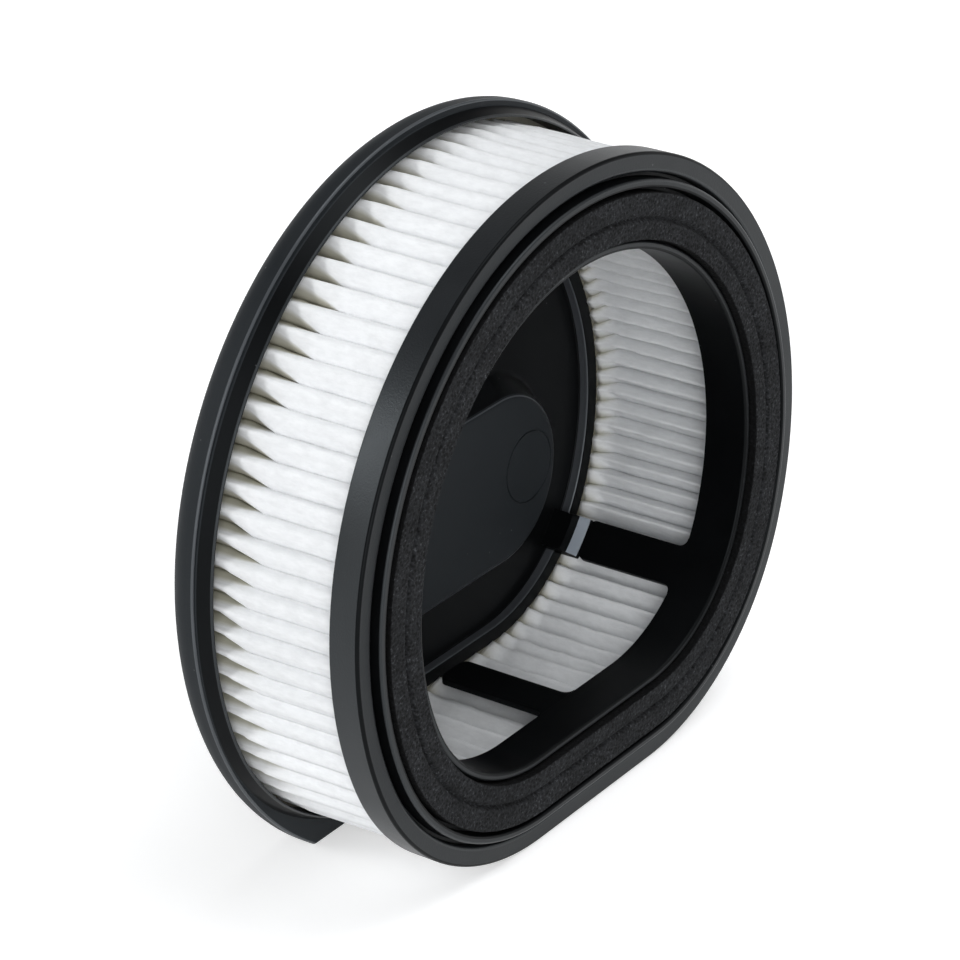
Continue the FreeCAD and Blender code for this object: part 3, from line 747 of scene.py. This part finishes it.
def boss_loops():
    """Loops from the floor up the sloped side of the boss to the edge of its face."""
    loops = [(boss_outline(half), level, slot) for half, level, slot in BOSS_SIDE]
    for growth, drop, slot in BOSS_ROUND:
        loops.append((boss_outline(BOSS_HALF + growth), BOSS_FACE + drop, slot))
    return loops


def post_section():
    """A post's section and the material of each side; part of the ramp's front carries a painted highlight.
    """
    section, tags = rounded_section([
        (LIP_OUTER, POST_FOOT, POST_SHARP, DULL_PAINTED_SHADE),
        (LIP_OUTER, POST_FRONT, POST_ROUND, DULL_PAINTED_SHADE),
        (POST_INNER - POST_RAMP_DEPTH, POST_FRONT, POST_ROUND, RAMP_PAINTED_HIGHLIGHT),
        (POST_INNER, POST_FRONT + POST_RAMP_LENGTH, POST_ROUND, DULL_PAINTED_SHADE),
        (POST_INNER, POST_FOOT, POST_SHARP, DULL_PAINTED_SHADE)], segments=3)
    highlighted = [i for i, tag in enumerate(tags) if tag == RAMP_PAINTED_HIGHLIGHT]
    longest = max(highlighted, key=lambda i: np.linalg.norm(section[i + 1] - section[i]))
    split = section[longest] + POST_HIGHLIGHT_SHARE * (section[longest + 1] - section[longest])
    section = np.insert(section, longest + 1, split, 0)
    tags.insert(longest + 1, DULL_PAINTED_SHADE)
    tags = [DULL_PAINTED_SHADE if i > longest and tag == RAMP_PAINTED_HIGHLIGHT else tag for i, tag in enumerate(tags)]
    return section, tags


def add_posts(shell):
    """Two ramped posts on the floor, in line with the side legs."""
    section, tags = post_section()
    centre = section.mean(0)
    half = LEG_WIDTH / 2
    stretch = CORNER_RADIUS / (CORNER_RADIUS - LIP_OUTER)
    across = np.concatenate([[-half, -half + POST_EDGE_START],
                             np.linspace(-half + POST_EDGE, half - POST_EDGE, POST_COLUMNS),
                             [half - POST_EDGE_START, half]])
    shrink = [POST_EDGE, POST_EDGE_START] + [0.0] * POST_COLUMNS + [POST_EDGE_START, POST_EDGE]
    for middle in (SIDE_LEG, RING_LENGTH - SIDE_LEG):
        rows = []
        for u, inset in zip(across, shrink):
            arm = section - centre
            pulled = centre + arm * (1.0 - inset / np.linalg.norm(arm, axis=1))[:, None]
            distance = np.full(len(section), middle + u * stretch)
            rows.append(ring_points(distance, pulled[:, 0], pulled[:, 1]))
        shell.add_closed_loft(np.array(rows), tags, DULL_PAINTED_SHADE)


def cap_shell():
    """The cap but for the boss's face, and the vertices round that face."""
    shell = Shell()
    loops = rear_loops() + tray_loops() + boss_loops()
    grid = np.array([to_frame(outline[:, 0], level, outline[:, 1]) for outline, level, _ in loops])
    columns = grid.shape[1]
    start = shell.add_points(grid)
    for r, (_, _, slot) in enumerate(loops[:-1]):
        a = start + r * columns
        b = a + columns
        for c in range(columns):
            d = (c + 1) % columns
            shell.add_face((a + d, a + c, b + c, b + d), slot)
    shell.add_face(tuple(range(start, start + columns)), SATIN)
    first = start + (len(loops) - 1) * columns
    add_posts(shell)
    return shell, list(range(first, first + columns))


def mark_faces(bm, side):
    """A round mark sunk into the boss's face at one end; gives its faces and its outer edges."""
    turn = np.linspace(0.0, 2.0 * math.pi, MARK_STEPS, endpoint=False)
    rings = []
    for radius, level in ((MARK_RADIUS, BOSS_FACE),
                          (MARK_RADIUS - MARK_TAPER, BOSS_FACE + MARK_DEPTH),
                          (MARK_RADIUS - MARK_WIDTH + MARK_TAPER, BOSS_FACE + MARK_DEPTH),
                          (MARK_RADIUS - MARK_WIDTH, BOSS_FACE)):
        x = side * MARK_SPACING + radius * np.cos(turn)
        spots = to_frame(x, level, BOSS_CENTRE + radius * np.sin(turn))
        rings.append([bm.verts.new(spot) for spot in spots])
    faces = []
    for first, second in zip(rings, rings[1:]):
        for i in range(MARK_STEPS):
            j = (i + 1) % MARK_STEPS
            faces.append(bm.faces.new((first[i], first[j], second[j], second[i])))
    faces.append(bm.faces.new(rings[-1]))
    outer = rings[0]
    return faces, [bm.edges.get((a, b)) for a, b in zip(outer, outer[1:] + outer[:1])]


def add_boss_face(piece, rim):
    """Closes the boss with its face, which carries a round mark at each end."""
    mesh = piece.data
    bm = bmesh.new()
    bm.from_mesh(mesh)
    bm.verts.ensure_lookup_table()
    edges = [bm.edges.get((bm.verts[a], bm.verts[b])) for a, b in zip(rim, rim[1:] + rim[:1])]
    made = []
    for side in (-1.0, 1.0):
        faces, outer_edges = mark_faces(bm, side)
        made += faces
        edges += outer_edges
    filled = bmesh.ops.triangle_fill(bm, edges=edges, use_beauty=True, use_dissolve=False)
    made += [g for g in filled["geom"] if isinstance(g, bmesh.types.BMFace)]
    for face in made:
        face.material_index = FROSTED
        face.smooth = True
    bmesh.ops.recalc_face_normals(bm, faces=bm.faces)
    bm.to_mesh(mesh)
    bm.free()
    mesh.set_sharp_from_angle(angle=math.radians(CAP_CREASE))


def rear_cap():
    shell, rim = cap_shell()
    piece = shell.piece("cap_and_boss", [satin, dull_with_painted_shade, frosted, painted_highlight, ramp_painted_highlight])
    add_boss_face(piece, rim)
    return piece


cap = rear_cap()
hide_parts("rear_cap")

# Foam gasket: swept section with rounded shoulders and a crease round its middle

GASKET_OUTER = 7.7
GASKET_INNER = 17.1
GASKET_TOP = -1.8
GASKET_ROUND = 0.3
GASKET_SIDE = 0.8  # side left straight below each shoulder
GASKET_MARGIN = 0.6
CREASE_OFFSET = 12.8
CREASE_WIDTH = 0.8
CREASE_DEPTH = 0.9
CREASE_MARGIN = 1.1
CREASE_SPREAD = 0.55
FOAM_COLUMNS = 1100
FOAM_FREE_DEPTH = 2.5  # height above the seat at which the foam is wholly free to swell
FOAM_SWELL = 0.06
CELL_DEPTH = 0.05
CELL_SHIFT = 0.04
FOAM_TOP = 0
FOAM_SIDE = 1


def foam_section():
    """Offsets and levels round the section, from the outer foot over the top to the inner foot."""
    offsets = [GASKET_OUTER, GASKET_OUTER]
    levels = [SEAT, GASKET_TOP + GASKET_ROUND + GASKET_SIDE]
    for turn in np.linspace(0.0, QUARTER, 5):
        offsets.append(GASKET_OUTER + GASKET_ROUND * (1.0 - math.cos(turn)))
        levels.append(GASKET_TOP + GASKET_ROUND * (1.0 - math.sin(turn)))
    across = np.concatenate([np.linspace(GASKET_OUTER + GASKET_MARGIN, CREASE_OFFSET - CREASE_MARGIN, 11),
                             np.linspace(CREASE_OFFSET - CREASE_WIDTH, CREASE_OFFSET + CREASE_WIDTH, 9),
                             np.linspace(CREASE_OFFSET + CREASE_MARGIN, GASKET_INNER - GASKET_MARGIN, 8)])
    dip = CREASE_DEPTH * np.exp(-((across - CREASE_OFFSET) / (CREASE_WIDTH * CREASE_SPREAD)) ** 2)
    offsets.extend(across)
    levels.extend(GASKET_TOP + dip)
    for turn in np.linspace(QUARTER, 0.0, 5):
        offsets.append(GASKET_INNER - GASKET_ROUND * (1.0 - math.cos(turn)))
        levels.append(GASKET_TOP + GASKET_ROUND * (1.0 - math.sin(turn)))
    offsets.extend([GASKET_INNER, GASKET_INNER])
    levels.extend([GASKET_TOP + GASKET_ROUND + GASKET_SIDE, SEAT])
    count = len(offsets)
    slots = [FOAM_SIDE if i < 4 or i >= count - 5 else FOAM_TOP for i in range(count)]
    return np.array(offsets), np.array(levels), slots


def foam_ring():
    offsets, levels, slots = foam_section()
    distance = (np.arange(FOAM_COLUMNS) * RING_LENGTH / FOAM_COLUMNS)[:, None]
    e = np.broadcast_to(offsets, (FOAM_COLUMNS, len(offsets))).copy()
    y = np.broadcast_to(levels, (FOAM_COLUMNS, len(offsets))).copy()
    phase = 2.0 * math.pi * distance / RING_LENGTH
    free = smooth_step((SEAT - levels) / FOAM_FREE_DEPTH)[None, :]
    dice = np.random.default_rng(7)
    swell = FOAM_SWELL * wave_noise(3, (phase * 5.0, e * 0.4), 12)
    y += free * (np.abs(swell) + np.abs(dice.normal(0.0, CELL_DEPTH, e.shape)))
    e += free * dice.normal(0.0, CELL_SHIFT, e.shape)
    shell = Shell()
    shell.add_grid(ring_points(distance, e, y), wrap_rows=True, wrap_columns=True, slots=slots)
    return shell.piece("gasket_foam", [foam, foam_darker_sides])


gasket = foam_ring()
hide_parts("foam_gasket")

# Folded media: the folds lie against each other at the front and part towards the rear

PLEATS = 88
SHEET = 0.36
TOUCH = SHEET / 2 + 0.012  # from the middle of a sheet to the plane where it meets the next one
MEDIA_FRONT = 4.6
MEDIA_REAR = 40.1
OUTER_FOLD = 1.2
INNER_FOLD = 15.0
CROWN_SHARE = 0.95  # share of the half spacing that a closed crown takes
CROWN_DROP = 1.6
PARTED_DROP = 0.75
VALLEY_LEAST = 0.35
VALLEY_DEPTH = 2.7
VALLEY_SHIFT = 0.42
INNER_SHARE = 0.96
INNER_VALLEY = 5.6
INNER_DROP = 4.3
INNER_SHORT = 0.3
INNER_SUNK = 0.45
INNER_NARROWED = 0.07
INNER_FLATTENED = 3.6
INNER_EASE = 0.02
CROWN_LEAN = 0.65
# Share of the olive tint of glue and painted shade that reaches the crowns
CROWN_GLUE_SHADE = 0.04
CROWN_FRONT = 0.3
CROWN_RISE = 0.6
FIRST_FOLD = 397.0
# Distance round the outline and the spacing of the folds there, mm
SPACING = [(0.0, 5.2), (60.0, 4.5), (100.0, 4.6), (150.0, 4.7), (175.0, 5.6), (200.0, 6.2), (240.0, 6.2),
           (275.0, 6.6), (297.0, 7.0), (312.0, 5.7), (335.0, 4.7), (365.0, 5.1), (400.0, 5.4),
           (RING_LENGTH, 5.2)]

# Random shares of a fold: mean, spread, least and most
PARTING_BEGINS = (0.615, 0.035, 0.54, 0.68)
PARTED_SHARE = (0.24, 0.035, 0.16, 0.32)
OUTER_CREST = (0.45, 0.12, 0.15, 0.7)
INNER_CREST = (-0.6, 0.08, -0.75, -0.4)

# How unevenly the folds lie, mm, and how ragged the edges of their crowns are, as a share
LINE_SPREAD = 0.1
LINE_TILT = 0.16
LINE_WAVE = 0.09
CREST_SPREAD = 0.08
CREST_WAVE = 0.06
CREST_LEAST = -0.2
CREST_MOST = 0.3
INNER_SPREAD = 0.09
INNER_WAVE = 0.09
INNER_RIPPLE = 0.1
RAGGED = 0.035

# Shares of the depth: rows of the mesh, where the cap's bead hides the folds, where they enter the tray
DEPTH = np.array([0.0, 0.07, 0.15, 0.23, 0.31, 0.39, 0.46, 0.52, 0.57, 0.61, 0.65,
                  0.69, 0.73, 0.77, 0.805, 0.835, 0.86, 0.885, 0.91, 0.94, 0.97, 1.0])
BEAD_DEPTH = 0.845
TRAY_DEPTH = 0.8
TRAY_CLEAR = TRAY_FLAT + SHEET / 2 + 0.03
INNER_PARTED = smooth_step((DEPTH - 0.9) / 0.09)

# Places across a crown and its drop there, as shares
OUTER_ARC = np.linspace(-1.0, 1.0, 9)
OUTER_CROWN = np.abs(OUTER_ARC) ** 1.5
INNER_ARC = np.array([-1.0, -0.5, -0.13, 0.0, 0.13, 0.5, 1.0])
INNER_CROWN = np.abs(INNER_ARC) ** 1.05


def fold_places():
    """Distances of the outer folds round the outline."""
    s = np.linspace(0.0, RING_LENGTH, 4000)
    width = np.interp(s, [p[0] for p in SPACING], [p[1] for p in SPACING])
    passed = np.concatenate([[0.0], np.cumsum(np.diff(s) * 2.0 / (width[1:] + width[:-1]))])
    passed *= PLEATS / passed[-1]
    first = np.interp(FIRST_FOLD, s, passed) % 1.0
    return np.interp(np.arange(PLEATS) + first, passed, s)


def drawn(dice, mean, spread, low, high):
    return float(np.clip(dice.normal(mean, spread), low, high))


class Fold:
    """One outer fold along the depth: its line, how far it has parted from its neighbours, its crown."""

    def __init__(self, index, place):
        dice = np.random.default_rng(500 + index)
        self.line = (place + dice.normal(0.0, LINE_SPREAD) + dice.normal(0.0, LINE_TILT) * (DEPTH - 0.5)
                     + LINE_WAVE * wave_noise(400 + index, (DEPTH * 4.2, DEPTH * 2.1), 6))
        begins = drawn(dice, *PARTING_BEGINS)
        reach = np.clip((DEPTH - begins) / (BEAD_DEPTH - begins), 0.0, 1.0)
        self.parted = reach ** 0.9
        # Olive tint where the fold parts towards the rear: glue tint and painted shade in the opened valley
        self.glue_shade_share = smooth_step((DEPTH - begins + 0.01) / 0.1)
        share = drawn(dice, *PARTED_SHARE)
        ragged = RAGGED * wave_noise(200 + index, (DEPTH * 9.0, DEPTH * 4.0), 7)
        narrowed = (CROWN_SHARE - share) * self.parted
        self.share = CROWN_SHARE - narrowed + ragged * (0.25 + self.parted) * 0.6
        self.lean = CROWN_LEAN * (CROWN_SHARE - self.share)
        self.crest = drawn(dice, *OUTER_CREST)
        wobble = CREST_WAVE * wave_noise(100 + index, (DEPTH * 3.1, DEPTH * 1.3), 6)
        lift = np.clip(dice.normal(0.0, CREST_SPREAD) + wobble, CREST_LEAST, CREST_MOST)
        top = OUTER_FOLD + CROWN_FRONT - CROWN_RISE * smooth_step((DEPTH - 0.05) / 0.95) + lift
        self.top = np.where(DEPTH > TRAY_DEPTH, np.maximum(top, TRAY_CLEAR), top)
        self.edge = self.top + CROWN_DROP - PARTED_DROP * self.parted
        shallow = 1.0 - 0.3 * smooth_step((DEPTH - 0.76) / 0.1)
        self.valley = self.edge + VALLEY_LEAST + VALLEY_DEPTH * self.parted * shallow
        self.inner_shift = float(dice.normal(0.0, INNER_SPREAD))
        self.inner_crest = drawn(dice, *INNER_CREST)
        self.inner_lift = INNER_WAVE * wave_noise(300 + index, (DEPTH * 7.0, DEPTH * 3.0), 7)
        self.inner_ripple = dice.normal(0.0, INNER_RIPPLE, len(DEPTH))


class SheetPath:
    """The middle of the sheet, column by column: distance round the outline, offset and an olive tint by
    depth, glue with painted shade.
    """

    def __init__(self):
        self.along = []
        self.inset = []
        self.tint = []

    def add(self, distance, offset, glue_shade_tint):
        self.along.append(distance)
        self.inset.append(offset)
        self.tint.append(glue_shade_tint)

    def add_outer_crown(self, fold, gap_before, gap):
        for u, drop in zip(OUTER_ARC, OUTER_CROWN):
            across = (fold.crest + u * (1.0 - math.copysign(fold.crest, u))) * fold.share
            across = np.where(across > 0.0, across * gap, across * gap_before) + fold.lean * gap
            self.add(fold.line + across, fold.top + drop * (fold.edge - fold.top), CROWN_GLUE_SHADE * fold.glue_shade_share)

    def add_flank(self, steps, rim, foot, edge, valley, glue_shade_tint):
        """Points between a crown's rim and the foot of the valley, with the olive tint of each step: glue and
        painted shade.
        """
        for f, tint in zip(steps, glue_shade_tint):
            self.add(rim + (foot - rim) * f ** 0.85, edge + (valley - edge) * f, tint)

    def add_inner_crown(self, fold, middle, next_line, gap):
        half = gap * (INNER_SHARE - INNER_NARROWED * INNER_PARTED)
        low = INNER_FOLD - INNER_SHORT + fold.inner_lift + INNER_SUNK * INNER_PARTED
        fall = INNER_DROP - INNER_FLATTENED * INNER_PARTED
        valley = np.full(len(DEPTH), INNER_FOLD - INNER_VALLEY)
        self.add(fold.line + TOUCH + INNER_EASE, valley, INNER_PARTED)
        for u, drop in zip(INNER_ARC, INNER_CROWN):
            across = (fold.inner_crest + u * (1.0 + math.copysign(fold.inner_crest, u))) * half
            ripple = fold.inner_ripple * (1.0 - abs(u))
            # The olive tint grows with the drop into the valley near the dam: painted shade over the glue
            # tint
            glue_shade_tint = (0.1 + 0.9 * drop * drop) * INNER_PARTED
            self.add(middle + fold.inner_shift + across, low + ripple - drop * fall, glue_shade_tint)
        self.add(next_line - TOUCH - INNER_EASE, valley, INNER_PARTED)


def sheet_path():
    folds = [Fold(k, place) for k, place in enumerate(fold_places())]
    path = SheetPath()
    for k, fold in enumerate(folds):
        after = folds[(k + 1) % PLEATS]
        last_line = folds[k - 1].line - (RING_LENGTH if k == 0 else 0.0)
        next_line = after.line + (RING_LENGTH if k == PLEATS - 1 else 0.0)
        line_after = folds[(k + 2) % PLEATS].line + (RING_LENGTH if k >= PLEATS - 2 else 0.0)
        gap = (next_line - fold.line) / 2
        gap_before = (fold.line - last_line) / 2
        gap_after = (line_after - next_line) / 2
        middle = fold.line + gap
        valley = np.maximum(fold.valley, after.valley)
        pinch = middle + VALLEY_SHIFT * after.parted * gap
        path.add_outer_crown(fold, gap_before, gap)
        rim = fold.line + (fold.share + fold.lean) * gap
        # Olive tint down the flanks into the valley: glue tint and painted shade
        down = (0.4, 0.8)
        path.add_flank(down, rim, pinch - TOUCH, fold.edge, valley,
                       [(0.85 + 0.15 * f) * after.glue_shade_share for f in down])
        path.add(pinch - TOUCH, valley, after.glue_shade_share)
        path.add_inner_crown(fold, middle, next_line, gap)
        path.add(pinch + TOUCH, valley, after.glue_shade_share)
        rim = next_line - after.share * gap + after.lean * gap_after
        up = (0.8, 0.4)
        path.add_flank(up, rim, pinch + TOUCH, after.edge, valley,
                       [(0.75 + 0.25 * f) * after.glue_shade_share for f in up])
    return np.stack(path.along, 1), np.stack(path.inset, 1), np.clip(np.stack(path.tint, 1), 0.0, 1.0)


def sheet_sides(along, inset):
    """Points on the two sides of the sheet, half its thickness to either side of its middle."""
    x, z, nx, nz = ring_frame(along)
    px = x - nx * inset
    pz = z - nz * inset
    tx = np.roll(px, -1, 1) - np.roll(px, 1, 1)
    tz = np.roll(pz, -1, 1) - np.roll(pz, 1, 1)
    length = np.hypot(tx, tz) + 1e-9
    sx = -tz / length
    sz = tx / length
    level = (MEDIA_FRONT + (MEDIA_REAR - MEDIA_FRONT) * DEPTH)[:, None]
    return [to_frame(px + sx * SHEET * side, level, pz + sz * SHEET * side) for side in (0.5, -0.5)]


def folded_sheet():
    along, inset, tint = sheet_path()
    rows, columns = along.shape
    first_side, second_side = sheet_sides(along, inset)
    shell = Shell()
    outer = shell.add_grid(first_side, wrap_columns=True)
    inner = shell.add_grid(second_side, wrap_columns=True, flip=True)
    for r in (0, rows - 1):
        a = outer + r * columns
        b = inner + r * columns
        for c in range(columns):
            d = (c + 1) % columns
            quad = (a + c, a + d, b + d, b + c)
            shell.add_face(quad[::-1] if r == 0 else quad)
    piece = shell.piece("folded_paper", [paper])
    attribute = piece.data.attributes.new("glue_and_shade", "FLOAT", "POINT")
    attribute.data.foreach_set("value", np.concatenate([tint.ravel(), tint.ravel()]).astype(np.float32))
    return piece


media = folded_sheet()
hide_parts("pleated_media")

# Floor

FLOOR_SIZE = 14.0
FLOOR_COLOUR = (0.8, 0.8, 0.8, 1.0)
FLOOR_GLOW = 0.47


def seen_rays(tree):
    """1 for rays that show the backdrop: straight from the camera, mirrored or through glass."""
    path = tree.nodes.new("ShaderNodeLightPath")
    first = calculated(tree, "MAXIMUM", path.outputs["Is Camera Ray"], path.outputs["Is Glossy Ray"])
    return calculated(tree, "MAXIMUM", first, path.outputs["Is Transmission Ray"])


def floor_material():
    material, tree, shader = new_material("white_floor")
    tree.nodes.remove(shader)
    diffuse = add_node(tree, "ShaderNodeBsdfDiffuse", Color=FLOOR_COLOUR)
    glow = add_node(tree, "ShaderNodeEmission", Strength=FLOOR_GLOW)
    none = add_node(tree, "ShaderNodeEmission", Strength=0.0)
    choice = tree.nodes.new("ShaderNodeMixShader")
    tree.links.new(seen_rays(tree), choice.inputs["Fac"])
    tree.links.new(none.outputs[0], choice.inputs[1])
    tree.links.new(glow.outputs[0], choice.inputs[2])
    both = tree.nodes.new("ShaderNodeAddShader")
    tree.links.new(diffuse.outputs[0], both.inputs[0])
    tree.links.new(choice.outputs[0], both.inputs[1])
    tree.links.new(both.outputs[0], tree.nodes["Material Output"].inputs["Surface"])
    return material


bpy.ops.mesh.primitive_plane_add(size=FLOOR_SIZE, location=(0.0, 0.0, 0.0))
floor = bpy.context.active_object
floor.name = "floor"
floor.data.materials.append(floor_material())

# Light: soft lights round the filter (direction, strength, focus) over a white horizon and a dark ceiling

LIGHT_TINT = (0.985, 0.997, 1.01)
LIGHTS = [
    ((-0.7, -0.7, 0.14), 3.2, 14.0),
    ((-0.7, -0.51, 0.5), 2.6, 22.0),
    ((0.44, -0.44, 0.79), 2.4, 24.0),
    ((0.17, -0.17, 0.97), 4.7, 24.0),
    ((-0.66, 0.565, 0.49), 18.0, 120.0),
    ((0.5, 0.8, 0.3), 0.6, 8.0),
]
HORIZON = [(0.0, grey(1.0)), (0.13, grey(1.0)), (0.30, grey(0.25)), (0.5, grey(0.0))]


def soft_light(tree, heading, direction, strength, focus):
    """Light that falls off with the angle to its direction."""
    facing = add_node(tree, "ShaderNodeVectorMath", operation="DOT_PRODUCT")
    tree.links.new(heading, facing.inputs[0])
    facing.inputs[1].default_value = Vector(direction).normalized()
    ahead = calculated(tree, "MAXIMUM", facing.outputs["Value"], 0.0)
    narrowed = calculated(tree, "POWER", ahead, focus)
    glow = add_node(tree, "ShaderNodeVectorMath", operation="SCALE")
    glow.inputs[0].default_value = [part * strength for part in LIGHT_TINT]
    tree.links.new(narrowed, glow.inputs["Scale"])
    return glow.outputs[0]


def studio_world():
    world = bpy.data.worlds.new("studio")
    world.use_nodes = True
    tree = world.node_tree
    tree.nodes.clear()
    heading = add_node(tree, "ShaderNodeTexCoord").outputs["Generated"]
    parts = add_node(tree, "ShaderNodeSeparateXYZ")
    tree.links.new(heading, parts.inputs[0])
    total = ramp(tree, parts.outputs["Z"], HORIZON)
    for direction, strength, focus in LIGHTS:
        both = add_node(tree, "ShaderNodeVectorMath", operation="ADD")
        tree.links.new(total, both.inputs[0])
        tree.links.new(soft_light(tree, heading, direction, strength, focus), both.inputs[1])
        total = both.outputs[0]
    background = add_node(tree, "ShaderNodeBackground", Strength=1.0)
    tree.links.new(total, background.inputs["Color"])
    tree.links.new(background.outputs[0], add_node(tree, "ShaderNodeOutputWorld").inputs["Surface"])
    return world


bpy.context.scene.world = studio_world()

# Camera

CAMERA_PLACE = Vector((-0.54203, -0.40273, 0.39554))
CAMERA_RIGHT = Vector((0.5905, -0.8065, -0.0294))
CAMERA_DOWN = Vector((-0.3690, -0.2374, -0.8986))
CAMERA_FORWARD = Vector((0.7178, 0.5415, -0.4377))
CAMERA_LENS = 141.04
CAMERA_SENSOR = 36.0


def photo_camera():
    data = bpy.data.cameras.new("camera")
    data.sensor_width = CAMERA_SENSOR
    data.lens = CAMERA_LENS
    data.clip_start = 0.01
    data.clip_end = 50.0
    camera = bpy.data.objects.new("camera", data)
    bpy.context.scene.collection.objects.link(camera)
    turn = Matrix((CAMERA_RIGHT, -CAMERA_DOWN, -CAMERA_FORWARD)).transposed().to_4x4()
    camera.matrix_world = Matrix.Translation(CAMERA_PLACE) @ turn
    return camera


bpy.context.scene.camera = photo_camera()
bpy.context.scene.view_settings.view_transform = "Standard"
